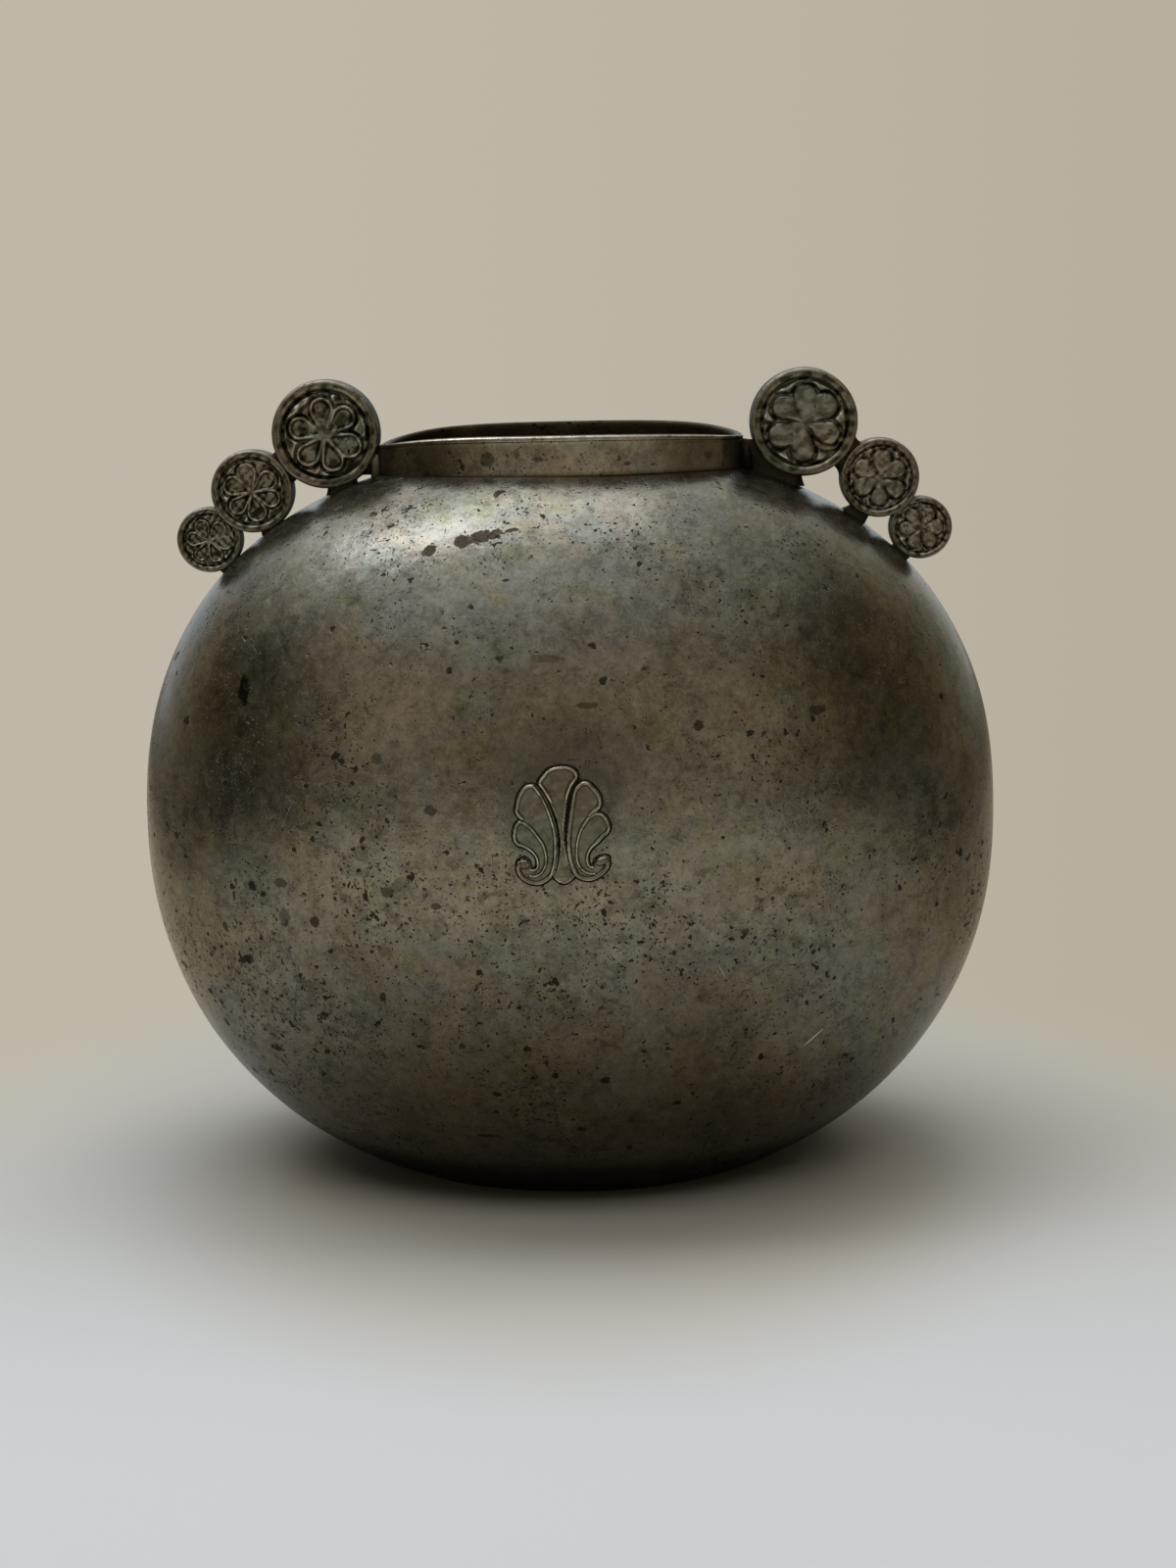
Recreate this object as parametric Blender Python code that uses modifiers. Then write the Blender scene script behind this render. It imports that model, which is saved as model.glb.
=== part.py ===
"""Pewter vase: a flattened round body with an upright oval neck, two cast handles of
three graded rosettes each, and a small palmette soldered to the front.

Metres, +Z up. The front faces -Y, the handles stand at -X and +X, and the origin is
on the floor under the middle of the base.
"""
import math

import bmesh
import bpy
from mathutils import Matrix, Vector

# Joints
SOLDER_GAP = 0.0003

# Body
BODY_HALF_WIDTH = 0.0900
BODY_HALF_DEPTH = 0.0558
BODY_WALL = 0.0020
WIDEST_HEIGHT = 0.0754
SHOULDER_FULLNESS = 2.36
BELLY_FULLNESS = 2.18

# Base plate
BASE_HALF_WIDTH = 0.0388
BASE_THICKNESS = 0.0022
BASE_EDGE_ROUND = 0.0004

# Neck
NECK_HALF_WIDTH = 0.0376
NECK_HALF_DEPTH = 0.0230
NECK_FOOT_HEIGHT = 0.1494
NECK_HEIGHT = 0.0082
NECK_WALL = 0.0017
NECK_LIP_ROUND = 0.0006
RIM_DIP = 0.0018
RIM_DIP_POWER = 4

# Rosettes of a handle, from the neck outwards
LARGE_RADIUS = 0.0111
MIDDLE_RADIUS = 0.0083
SMALL_RADIUS = 0.0066
LARGE_THICKNESS = 0.0070
MIDDLE_THICKNESS = 0.0056
SMALL_THICKNESS = 0.0046
ROSETTE_OVERLAP = 0.0005
SMALL_LIFT = 0.0009
RIM_BAND = 0.0019
EDGE_ROUND = 0.0008
FOOT_WIDTH = 0.0046
FOOT_THICKNESS = 0.0044
SMALL_FOOT_WIDTH = 0.0084
SMALL_FOOT_THICKNESS = 0.0034
LARGE_WEB_WIDTH = 0.0072
LARGE_WEB_THICKNESS = 0.0044
SMALL_WEB_WIDTH = 0.0056
SMALL_WEB_THICKNESS = 0.0032
LUG_WIDTH = 0.0036
LUG_THICKNESS = 0.0030

# Petals: hollows between thin walls on one face of the casting, domes on the other
PETAL_COUNT = 6
PETAL_COLUMNS = 6
PETAL_RINGS = (0.26, 0.50, 0.70, 0.86)
PETAL_BROADEST = 0.66
PETAL_TIP = 0.97
PETAL_SPREAD = 0.88
HOLLOW_FLOOR_DEPTH = 0.0004
HOLLOW_DEPTH = 0.0008
DOMED_FLOOR_DEPTH = 0.0013
DOME_HEIGHT = 0.0011

# Turn of each rosette's petals in degrees, and the columns by which its domes lead its hollows
LARGE_TURN = 44
MIDDLE_TURN = 40
SMALL_TURN = 53
LARGE_LEAD = -1.5
MIDDLE_LEAD = -0.5
SMALL_LEAD = 0.5

# Palmette
PALMETTE_HEIGHT = 0.0224
PALMETTE_HALF_WIDTH = 0.0092
PALMETTE_FOOT_HEIGHT = 0.0746
PALMETTE_BACKING = 0.0004
PALMETTE_RELIEF = 0.0004
PALMETTE_EYE_RADIUS = 0.0009
PALMETTE_EYE_SINK = 0.0001
PALMETTE_EYE_RISE = 0.0005

# Palmette outlines: shares of its half width and of its height, from its axis and its foot
CENTRE_LOBE = ((0.0, 1.0), (0.36, 0.94), (0.36, 0.81), (0.20, 0.66), (0.06, 0.50), (0.03, 0.31),
               (0.12, 0.13), (0.17, 0.04), (0.0, 0.0))
SIDE_LOBES = ((0.47, 0.86), (0.70, 0.84), (0.85, 0.71), (0.75, 0.59), (0.94, 0.53), (0.98, 0.41),
              (0.74, 0.34), (0.62, 0.26), (0.86, 0.22), (0.94, 0.12), (0.75, 0.03), (0.45, 0.02),
              (0.20, 0.14), (0.11, 0.32), (0.17, 0.56), (0.31, 0.74))
BACKING = ((0.0, 0.97), (0.52, 0.86), (0.76, 0.70), (0.65, 0.59), (0.87, 0.49), (0.56, 0.32),
           (0.54, 0.21), (0.82, 0.14), (0.55, 0.04), (0.0, 0.03))
PALMETTE_EYE = (0.78, 0.15)

# Fineness of the forms
BODY_STEPS = 64
PROFILE_STEPS = 11
CURVE_STEPS = 4
EYE_STEPS = 10
PALMETTE_BANDS = 8
SEARCH_STEPS = 400
HALVINGS = 40

# Colour and roughness of the pewter on each piece
FINISHES = {
    "body_front": ((0.190, 0.170, 0.145), 0.42),
    "body_back": ((0.185, 0.165, 0.140), 0.43),
    "base_plate": ((0.120, 0.105, 0.090), 0.55),
    "neck_collar": ((0.200, 0.180, 0.155), 0.40),
    "handle_left": ((0.150, 0.130, 0.110), 0.50),
    "handle_right": ((0.155, 0.135, 0.112), 0.50),
    "palmette": ((0.210, 0.190, 0.165), 0.42),
}

FULL_TURN = 2 * math.pi
MIDDLE_OF_ROUND = 1 - math.sqrt(0.5)
FLAT_DEGREES = 1
SHARP_DEGREES = 32
MERGE = 0.00001
HIDDEN_REACH = 0.02
HIDDEN_SHARE = 0.8

DEPTH_RATIO = BODY_HALF_DEPTH / BODY_HALF_WIDTH
BASE_HALF_DEPTH = BASE_HALF_WIDTH * DEPTH_RATIO
RIM_HEIGHT = NECK_FOOT_HEIGHT + NECK_HEIGHT
SEAM_HALF = SOLDER_GAP / 2


def pole_reach(level_share, height, fullness):
    """Half height of the curve that is level_share of its full width at the height"""
    return height / (1 - level_share ** fullness) ** (1 / fullness)


NECK_SHARE = NECK_HALF_WIDTH / BODY_HALF_WIDTH
BASE_SHARE = BASE_HALF_WIDTH / BODY_HALF_WIDTH
SHOULDER_REACH = pole_reach(NECK_SHARE, NECK_FOOT_HEIGHT - WIDEST_HEIGHT, SHOULDER_FULLNESS)
BELLY_REACH = pole_reach(BASE_SHARE, WIDEST_HEIGHT, BELLY_FULLNESS)


def clear_scene():
    for obj in list(bpy.data.objects):
        bpy.data.objects.remove(obj, do_unlink=True)


def new_collection(name):
    collection = bpy.data.collections.new(name)
    bpy.context.scene.collection.children.link(collection)
    return collection


def add_object(name, mesh, collection):
    obj = bpy.data.objects.new(name, mesh)
    collection.objects.link(obj)
    if collection.name.startswith("cutters"):
        obj.hide_render = True
        obj.display_type = "WIRE"
    return obj


def baked(obj):
    """The object's shape with its modifiers applied, in the object's own frame"""
    graph = bpy.context.evaluated_depsgraph_get()
    mesh = bpy.data.meshes.new_from_object(obj.evaluated_get(graph))
    obj.modifiers.clear()
    obj.data = mesh
    return obj


def shade(obj):
    obj.data.shade_smooth()
    obj.data.set_sharp_from_angle(angle=math.radians(SHARP_DEGREES))


def pewter(name, colour, roughness):
    material = bpy.data.materials.new(name)
    material.use_nodes = True
    shader = material.node_tree.nodes["Principled BSDF"]
    shader.inputs["Base Color"].default_value = (*colour, 1.0)
    shader.inputs["Metallic"].default_value = 1.0
    shader.inputs["Roughness"].default_value = roughness
    return material


def turned(name, profile, steps, collection, depth_ratio=1.0):
    """A profile of radius and height, turned about Z and then drawn in along Y"""
    mesh = bpy.data.meshes.new(name)
    edges = [(i, i + 1) for i in range(len(profile) - 1)]
    mesh.from_pydata([(radius, 0.0, height) for radius, height in profile], edges, [])
    obj = add_object(name, mesh, collection)
    screw = obj.modifiers.new("Turn", "SCREW")
    screw.axis = "Z"
    screw.angle = FULL_TURN
    screw.steps = steps
    screw.render_steps = steps
    screw.use_merge_vertices = True
    screw.merge_threshold = MERGE
    baked(obj)
    obj.data.transform(Matrix.Diagonal((1.0, depth_ratio, 1.0, 1.0)))
    return obj


def oval_prism(name, half_width, half_depth, low, high, collection):
    mesh = bpy.data.meshes.new(name)
    form = bmesh.new()
    bmesh.ops.create_cone(form, cap_ends=True, segments=BODY_STEPS, radius1=1.0, radius2=1.0, depth=1.0)
    bmesh.ops.scale(form, verts=form.verts, vec=(half_width, half_depth, high - low))
    bmesh.ops.translate(form, verts=form.verts, vec=(0.0, 0.0, (low + high) / 2))
    form.to_mesh(mesh)
    form.free()
    return add_object(name, mesh, collection)


def block(name, size, centre, collection, slope=0.0):
    """A box at the centre, turned by the slope in the plane of the handles"""
    mesh = bpy.data.meshes.new(name)
    form = bmesh.new()
    bmesh.ops.create_cube(form, size=1.0)
    bmesh.ops.scale(form, verts=form.verts, vec=size)
    bmesh.ops.rotate(form, verts=form.verts, matrix=Matrix.Rotation(-slope, 3, "Y"))
    bmesh.ops.translate(form, verts=form.verts, vec=centre)
    form.to_mesh(mesh)
    form.free()
    return add_object(name, mesh, collection)


def combine(obj, tool, operation):
    modifier = obj.modifiers.new(f"{operation.lower()} {tool.name}", "BOOLEAN")
    modifier.operation = operation
    modifier.solver = "EXACT"
    modifier.object = tool


def level_share(height):
    """Width of the body at a height, as a share of its greatest width"""
    rise = height - WIDEST_HEIGHT
    reach, fullness = (SHOULDER_REACH, SHOULDER_FULLNESS) if rise > 0 else (BELLY_REACH, BELLY_FULLNESS)
    return max(0.0, 1 - (abs(rise) / reach) ** fullness) ** (1 / fullness)


def shoulder_height(x):
    """Height of the shoulder in the plane of the handles"""
    share = min(1.0, abs(x) / BODY_HALF_WIDTH)
    return WIDEST_HEIGHT + SHOULDER_REACH * (1 - share ** SHOULDER_FULLNESS) ** (1 / SHOULDER_FULLNESS)


def body_profile(low_share, high_share, growth=0.0):
    """Outline of the body from the top share of its width, round its side, to the bottom one"""
    half_width = BODY_HALF_WIDTH + growth

    def quarter(fullness, reach, end_share):
        last = math.acos(end_share ** (fullness / 2))
        points = []
        for step in range(PROFILE_STEPS + 1):
            angle = last * step / PROFILE_STEPS
            radius = half_width * math.cos(angle) ** (2 / fullness)
            points.append((radius, (reach + growth) * math.sin(angle) ** (2 / fullness)))
        return points

    upper = quarter(SHOULDER_FULLNESS, SHOULDER_REACH, high_share)
    lower = quarter(BELLY_FULLNESS, BELLY_REACH, low_share)
    top_to_side = [(radius, WIDEST_HEIGHT + rise) for radius, rise in reversed(upper)]
    side_to_bottom = [(radius, WIDEST_HEIGHT - drop) for radius, drop in lower[1:]]
    return top_to_side + side_to_bottom


def grown_body(name, growth, collection):
    """Solid of the body's outer shape, for cutting what is soldered onto it"""
    profile = body_profile(0.0, 0.0, growth)
    profile[0] = (0.0, profile[0][1])
    profile[-1] = (0.0, profile[-1][1])
    ratio = (BODY_HALF_DEPTH + growth) / (BODY_HALF_WIDTH + growth)
    return turned(name, profile, BODY_STEPS, collection, ratio)


def make_body(parts, cutters):
    """Front and back half shells, which meet in the plane of the handles"""
    neck_share = min(NECK_HALF_WIDTH, NECK_HALF_DEPTH / DEPTH_RATIO) / BODY_HALF_WIDTH
    profile = body_profile(BASE_SHARE * HIDDEN_SHARE, neck_share * HIDDEN_SHARE)
    shell = turned("shell", profile, BODY_STEPS, cutters, DEPTH_RATIO)
    wall = shell.modifiers.new("Wall", "SOLIDIFY")
    wall.thickness = BODY_WALL
    wall.offset = -1.0
    wall.use_even_offset = True
    baked(shell)

    neck_hole = oval_prism("neck_hole", NECK_HALF_WIDTH + SOLDER_GAP, NECK_HALF_DEPTH + SOLDER_GAP,
                           WIDEST_HEIGHT, RIM_HEIGHT + HIDDEN_REACH, cutters)
    base_hole = oval_prism("base_hole", BASE_HALF_WIDTH + SOLDER_GAP, BASE_HALF_DEPTH + SOLDER_GAP,
                           -HIDDEN_REACH, WIDEST_HEIGHT, cutters)
    half_size = (2 * (BODY_HALF_WIDTH + HIDDEN_REACH), BODY_HALF_DEPTH + HIDDEN_REACH,
                 RIM_HEIGHT + 2 * HIDDEN_REACH)
    halves = []
    for name, away in (("body_front", 1), ("body_back", -1)):
        centre = (0.0, away * (half_size[1] / 2 - SEAM_HALF), RIM_HEIGHT / 2)
        other_side = block(f"beyond_{name}", half_size, centre, cutters)
        half = add_object(name, shell.data.copy(), parts)
        for tool in (neck_hole, base_hole, other_side):
            combine(half, tool, "DIFFERENCE")
        halves.append(half)
    bpy.data.objects.remove(shell)
    return halves


def make_base_plate(parts):
    """Flat oval plate let into the opening under the body"""
    plate = oval_prism("base_plate", BASE_HALF_WIDTH, BASE_HALF_DEPTH, 0.0, BASE_THICKNESS, parts)
    edge = plate.modifiers.new("Edge", "BEVEL")
    edge.width = BASE_EDGE_ROUND
    edge.segments = 1
    edge.limit_method = "ANGLE"
    return plate


def make_neck(parts):
    """Upright oval band, let into the shoulder, with a lip that dips towards the handles"""
    foot = NECK_FOOT_HEIGHT - BODY_WALL
    ratio = NECK_HALF_DEPTH / NECK_HALF_WIDTH
    outer_side = [(NECK_HALF_WIDTH, RIM_HEIGHT), (NECK_HALF_WIDTH, foot)]
    band = turned("neck_collar", outer_side, BODY_STEPS, parts, ratio)
    wall = band.modifiers.new("Wall", "SOLIDIFY")
    wall.thickness = NECK_WALL
    wall.offset = -1.0
    wall.use_even_offset = True
    baked(band)

    form = bmesh.new()
    form.from_mesh(band.data)
    lip_weight = form.edges.layers.float.new("bevel_weight_edge")
    middle = (foot + RIM_HEIGHT) / 2
    for edge in form.edges:
        at_top = all(vertex.co.z > middle for vertex in edge.verts)
        round_the_oval = len({face.normal.z > 0.5 for face in edge.link_faces}) == 2
        edge[lip_weight] = 1.0 if at_top and round_the_oval else 0.0
    for vertex in form.verts:
        if vertex.co.z > middle:
            vertex.co.z -= RIM_DIP * (vertex.co.x / NECK_HALF_WIDTH) ** RIM_DIP_POWER
    form.to_mesh(band.data)
    form.free()
    lip = band.modifiers.new("Lip", "BEVEL")
    lip.width = NECK_LIP_ROUND
    lip.segments = 2
    lip.limit_method = "WEIGHT"
    return band


def rolled_height(x, radius):
    """Height of the centre of a disc that rests on the shoulder at x without touching the seam"""
    best = -1.0
    for step in range(1, SEARCH_STEPS):
        across = radius * (2 * step / SEARCH_STEPS - 1)
        if abs(x + across) < BODY_HALF_WIDTH:
            best = max(best, shoulder_height(x + across) + math.sqrt(radius ** 2 - across ** 2))
    return best


def next_centre(previous, distance, radius):
    """Centre of the next disc down the shoulder, at a distance from the one before"""
    near, far = previous[0], previous[0] + distance
    for _ in range(HALVINGS):
        x = (near + far) / 2
        height = rolled_height(x, radius)
        if math.hypot(x - previous[0], height - previous[1]) < distance:
            near = x
        else:
            far = x
    return x, height


def foot_slope(x, height):
    """Slope, from upright, of the line from a disc's centre straight down onto the shoulder"""
    spots = [BODY_HALF_WIDTH * step / SEARCH_STEPS for step in range(SEARCH_STEPS)]
    nearest = min(spots, key=lambda spot: math.hypot(spot - x, shoulder_height(spot) - height))
    return math.atan2(x - nearest, height - shoulder_height(nearest))


def petal_rise(share, angle):
    """Relief of the petals at a share of the floor's radius: 0 between them, 1 on their crowns"""
    pitch = FULL_TURN / PETAL_COUNT
    off_axis = abs((angle + pitch / 2) % pitch - pitch / 2) / (pitch / 2)
    towards_tip = max(0.0, (share - PETAL_BROADEST) / (PETAL_TIP - PETAL_BROADEST))
    spread = PETAL_SPREAD * math.sqrt(max(0.0, 1 - towards_tip ** 2))
    if off_axis >= spread:
        return 0.0
    return math.sqrt(1 - (off_axis / spread) ** 2) * min(1.0, share / PETAL_BROADEST)


def disc(name, radius, thickness, turn, lead, centre, collection):
    """Rosette: a thick disc with a raised rim round a sunk floor of six petals on both faces"""
    crest = thickness / 2
    floor_radius = radius - RIM_BAND - EDGE_ROUND / 2
    corner = EDGE_ROUND * MIDDLE_OF_ROUND
    hollow_floor = crest - HOLLOW_FLOOR_DEPTH
    domed_floor = DOMED_FLOOR_DEPTH - crest
    front = [(0.0, hollow_floor)]
    front += [(floor_radius * share, hollow_floor) for share in PETAL_RINGS]
    front += [(floor_radius, hollow_floor), (radius - RIM_BAND, crest), (radius - EDGE_ROUND, crest),
              (radius - corner, crest - corner), (radius, crest - EDGE_ROUND)]
    back = [(radius, EDGE_ROUND - crest), (radius - corner, corner - crest), (radius - EDGE_ROUND, -crest),
            (radius - RIM_BAND, -crest), (floor_radius, domed_floor)]
    back += [(floor_radius * share, domed_floor) for share in reversed(PETAL_RINGS)]
    back += [(0.0, domed_floor)]
    obj = turned(name, front + back, PETAL_COUNT * PETAL_COLUMNS, collection)

    column = FULL_TURN / (PETAL_COUNT * PETAL_COLUMNS)
    for vertex in obj.data.vertices:
        share = math.hypot(vertex.co.x, vertex.co.y) / floor_radius
        angle = math.atan2(vertex.co.y, vertex.co.x)
        if share < 1 and vertex.co.z > 0:
            vertex.co.z -= HOLLOW_DEPTH * petal_rise(share, angle)
        elif share < 1:
            vertex.co.z -= DOME_HEIGHT * petal_rise(share, angle - lead * column)
    upright = Matrix.Rotation(math.pi / 2, 4, "X") @ Matrix.Rotation(math.radians(turn), 4, "Z")
    obj.data.transform(Matrix.Translation((centre[0], 0.0, centre[1])) @ upright)
    return obj


def make_handles(parts, cutters):
    """Both handles: the same casting of three rosettes, turned round for the right side"""
    large_x = NECK_HALF_WIDTH + SOLDER_GAP + LARGE_RADIUS
    large = (large_x, rolled_height(large_x, LARGE_RADIUS + SOLDER_GAP))
    to_middle = LARGE_RADIUS + MIDDLE_RADIUS - ROSETTE_OVERLAP
    middle = next_centre(large, to_middle, MIDDLE_RADIUS + SOLDER_GAP)
    to_small = MIDDLE_RADIUS + SMALL_RADIUS - ROSETTE_OVERLAP
    small = next_centre(middle, to_small, SMALL_RADIUS + SMALL_LIFT)

    plain_foot = (FOOT_WIDTH, FOOT_THICKNESS)
    small_foot = (SMALL_FOOT_WIDTH, SMALL_FOOT_THICKNESS)
    rosettes = [
        ("large", LARGE_RADIUS, LARGE_THICKNESS, LARGE_TURN, LARGE_LEAD, large, plain_foot),
        ("middle", MIDDLE_RADIUS, MIDDLE_THICKNESS, MIDDLE_TURN, MIDDLE_LEAD, middle, plain_foot),
        ("small", SMALL_RADIUS, SMALL_THICKNESS, SMALL_TURN, SMALL_LEAD, small, small_foot),
    ]
    joined = new_collection("cutters_handle")
    for label, radius, thickness, turn, lead, (x, height), foot in rosettes:
        disc(f"{label}_disc", radius, thickness, turn, lead, (-x, height), joined)
        slope = foot_slope(x, height)
        foot_length = RIM_BAND + SMALL_LIFT + BODY_WALL
        reach = radius - RIM_BAND + foot_length / 2
        middle_of_foot = (-x + math.sin(slope) * reach, 0.0, height - math.cos(slope) * reach)
        block(f"{label}_foot", (*foot, foot_length), middle_of_foot, joined, slope)

    web_links = (
        ("large_web", large, middle, LARGE_RADIUS, MIDDLE_RADIUS, LARGE_WEB_WIDTH, LARGE_WEB_THICKNESS),
        ("small_web", middle, small, MIDDLE_RADIUS, SMALL_RADIUS, SMALL_WEB_WIDTH, SMALL_WEB_THICKNESS),
    )
    for label, start, end, start_radius, end_radius, width, thickness in web_links:
        along = math.atan2(end[1] - start[1], end[0] - start[0])
        span = math.hypot(end[0] - start[0], end[1] - start[1])
        touch = (start_radius + span - end_radius) / 2
        centre = (-(start[0] + touch * math.cos(along)), 0.0, start[1] + touch * math.sin(along))
        block(label, (2 * RIM_BAND, thickness, width), centre, joined, -along)
    lug_height = RIM_HEIGHT - RIM_DIP - LUG_WIDTH
    lug_length = large[0] - NECK_HALF_WIDTH + NECK_WALL
    lug_centre = (-(large[0] + NECK_HALF_WIDTH - NECK_WALL) / 2, 0.0, lug_height)
    lug = block("neck_lug", (lug_length, LUG_THICKNESS, LUG_WIDTH), lug_centre, cutters)

    handle = add_object("handle_left", lug.data, parts)
    bpy.data.objects.remove(lug)
    together = handle.modifiers.new("union of the casting", "BOOLEAN")
    together.operation = "UNION"
    together.solver = "EXACT"
    together.operand_type = "COLLECTION"
    together.collection = joined
    seat = grown_body("shoulder_seat", SOLDER_GAP, cutters)
    neck_seat = oval_prism("neck_seat", NECK_HALF_WIDTH + SOLDER_GAP, NECK_HALF_DEPTH + SOLDER_GAP,
                           WIDEST_HEIGHT, RIM_HEIGHT + HIDDEN_REACH, cutters)
    for tool in (seat, neck_seat):
        combine(handle, tool, "DIFFERENCE")
    baked(handle)
    right = add_object("handle_right", handle.data.copy(), parts)
    right.data.transform(Matrix.Rotation(math.pi, 4, "Z"))
    return [handle, right]


def flat_plate(name, outline, thickness, lift, collection):
    """A flat plate cut to a smooth closed outline, its lower face at the lift"""
    curve = bpy.data.curves.new(name, "CURVE")
    curve.dimensions = "2D"
    curve.fill_mode = "BOTH"
    curve.extrude = thickness / 2
    spline = curve.splines.new("BEZIER")
    spline.bezier_points.add(len(outline) - 1)
    for point, (across, up) in zip(spline.bezier_points, outline):
        point.co = (across * PALMETTE_HALF_WIDTH, up * PALMETTE_HEIGHT, 0.0)
        point.handle_left_type = "AUTO"
        point.handle_right_type = "AUTO"
    spline.use_cyclic_u = True
    spline.resolution_u = CURVE_STEPS
    drawn = bpy.data.objects.new(name, curve)
    collection.objects.link(drawn)
    graph = bpy.context.evaluated_depsgraph_get()
    mesh = bpy.data.meshes.new_from_object(drawn.evaluated_get(graph))
    bpy.data.objects.remove(drawn)
    form = bmesh.new()
    form.from_mesh(mesh)
    bmesh.ops.remove_doubles(form, verts=form.verts, dist=MERGE)
    flat = math.radians(FLAT_DEGREES)
    bmesh.ops.dissolve_limit(form, angle_limit=flat, verts=form.verts, edges=form.edges)
    bmesh.ops.recalc_face_normals(form, faces=form.faces)
    bmesh.ops.translate(form, verts=form.verts, vec=(0.0, 0.0, lift + thickness / 2))
    form.to_mesh(mesh)
    form.free()
    return add_object(name, mesh, collection)


def mirrored(outline):
    """Whole outline from its half, which starts and ends on the axis"""
    return list(outline) + [(-across, up) for across, up in reversed(outline[1:-1])]


def palmette_eye(name, side, collection):
    """Low boss in the middle of a volute"""
    mesh = bpy.data.meshes.new(name)
    form = bmesh.new()
    bmesh.ops.create_uvsphere(form, u_segments=EYE_STEPS, v_segments=EYE_STEPS, radius=PALMETTE_EYE_RADIUS)
    bmesh.ops.scale(form, verts=form.verts, vec=(1.0, 1.0, PALMETTE_EYE_RISE / PALMETTE_EYE_RADIUS))
    height = PALMETTE_BACKING + PALMETTE_RELIEF - PALMETTE_EYE_SINK
    centre = (side * PALMETTE_EYE[0] * PALMETTE_HALF_WIDTH, PALMETTE_EYE[1] * PALMETTE_HEIGHT, height)
    bmesh.ops.translate(form, verts=form.verts, vec=centre)
    form.to_mesh(mesh)
    form.free()
    return add_object(name, mesh, collection)


def lay_on_front(form):
    """Moves flat points (across, up, proud) onto the front of the body, over the solder gap"""
    for vertex in form.verts:
        across, up, proud = vertex.co
        height = PALMETTE_FOOT_HEIGHT + up
        depth = math.sqrt(level_share(height) ** 2 - (across / BODY_HALF_WIDTH) ** 2)
        vertex.co = Vector((across, -BODY_HALF_DEPTH * depth - SOLDER_GAP - proud, height))


def make_palmette(parts, cutters):
    """Low relief of a fan of five lobes over two volutes, bent to the body"""
    relief_lift = PALMETTE_BACKING / 2
    relief = PALMETTE_RELIEF + relief_lift
    palmette = flat_plate("palmette", mirrored(BACKING), PALMETTE_BACKING, 0.0, parts)
    raised = [flat_plate("centre_lobe", mirrored(CENTRE_LOBE), relief, relief_lift, cutters)]
    for label, side in (("left", -1), ("right", 1)):
        outline = [(side * across, up) for across, up in SIDE_LOBES]
        raised.append(flat_plate(f"{label}_lobes", outline, relief, relief_lift, cutters))
        raised.append(palmette_eye(f"{label}_eye", side, cutters))
    for tool in raised:
        combine(palmette, tool, "UNION")
    baked(palmette)

    form = bmesh.new()
    form.from_mesh(palmette.data)
    for number in range(1, PALMETTE_BANDS):
        everything = form.verts[:] + form.edges[:] + form.faces[:]
        level = Vector((0.0, PALMETTE_HEIGHT * number / PALMETTE_BANDS, 0.0))
        upwards = Vector((0.0, 1.0, 0.0))
        bmesh.ops.bisect_plane(form, geom=everything, plane_co=level, plane_no=upwards, dist=MERGE / 10)
    lay_on_front(form)
    bmesh.ops.triangulate(form, faces=form.faces)
    bmesh.ops.recalc_face_normals(form, faces=form.faces)
    form.to_mesh(palmette.data)
    form.free()
    return palmette


def build():
    clear_scene()
    parts = new_collection("pewter_vase")
    cutters = new_collection("cutters")
    pieces = [*make_body(parts, cutters), make_base_plate(parts), make_neck(parts)]
    pieces += [*make_handles(parts, cutters), make_palmette(parts, cutters)]
    for piece in pieces:
        colour, roughness = FINISHES[piece.name]
        piece.data.materials.clear()
        piece.data.materials.append(pewter(f"{piece.name}_pewter", colour, roughness))
        shade(piece)


build()
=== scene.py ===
"""Pewter vase: the looks of its body, neck, base, cast handles and palmette.

Metres, +Z up, the front faces -Y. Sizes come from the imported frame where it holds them.
"""
import math

import bmesh
import bpy
import numpy as np
from mathutils import Matrix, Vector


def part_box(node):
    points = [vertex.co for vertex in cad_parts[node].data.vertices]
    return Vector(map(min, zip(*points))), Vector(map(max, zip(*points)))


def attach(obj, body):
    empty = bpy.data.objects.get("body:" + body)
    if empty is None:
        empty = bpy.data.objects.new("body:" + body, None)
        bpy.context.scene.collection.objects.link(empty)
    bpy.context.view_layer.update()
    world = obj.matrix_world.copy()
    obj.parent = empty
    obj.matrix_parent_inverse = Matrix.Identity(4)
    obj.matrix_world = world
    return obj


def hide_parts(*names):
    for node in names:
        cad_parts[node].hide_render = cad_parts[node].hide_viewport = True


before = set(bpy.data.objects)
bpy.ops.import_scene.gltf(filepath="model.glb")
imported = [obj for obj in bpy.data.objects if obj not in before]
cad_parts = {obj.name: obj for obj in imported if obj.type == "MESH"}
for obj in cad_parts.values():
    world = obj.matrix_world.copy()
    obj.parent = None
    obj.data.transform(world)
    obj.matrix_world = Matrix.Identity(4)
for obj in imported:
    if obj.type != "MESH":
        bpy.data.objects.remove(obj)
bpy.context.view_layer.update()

FULL_TURN = 2 * math.pi
MM = 0.001

# Camera: a real lens and place, fitted to the photograph
CAMERA_PLACE = (0.01212, -0.45529, 0.17726)
CAMERA_PITCH = -11.72
CAMERA_HEADING = 1.016
CAMERA_ROLL = -1.30
LENS = 49.9

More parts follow.
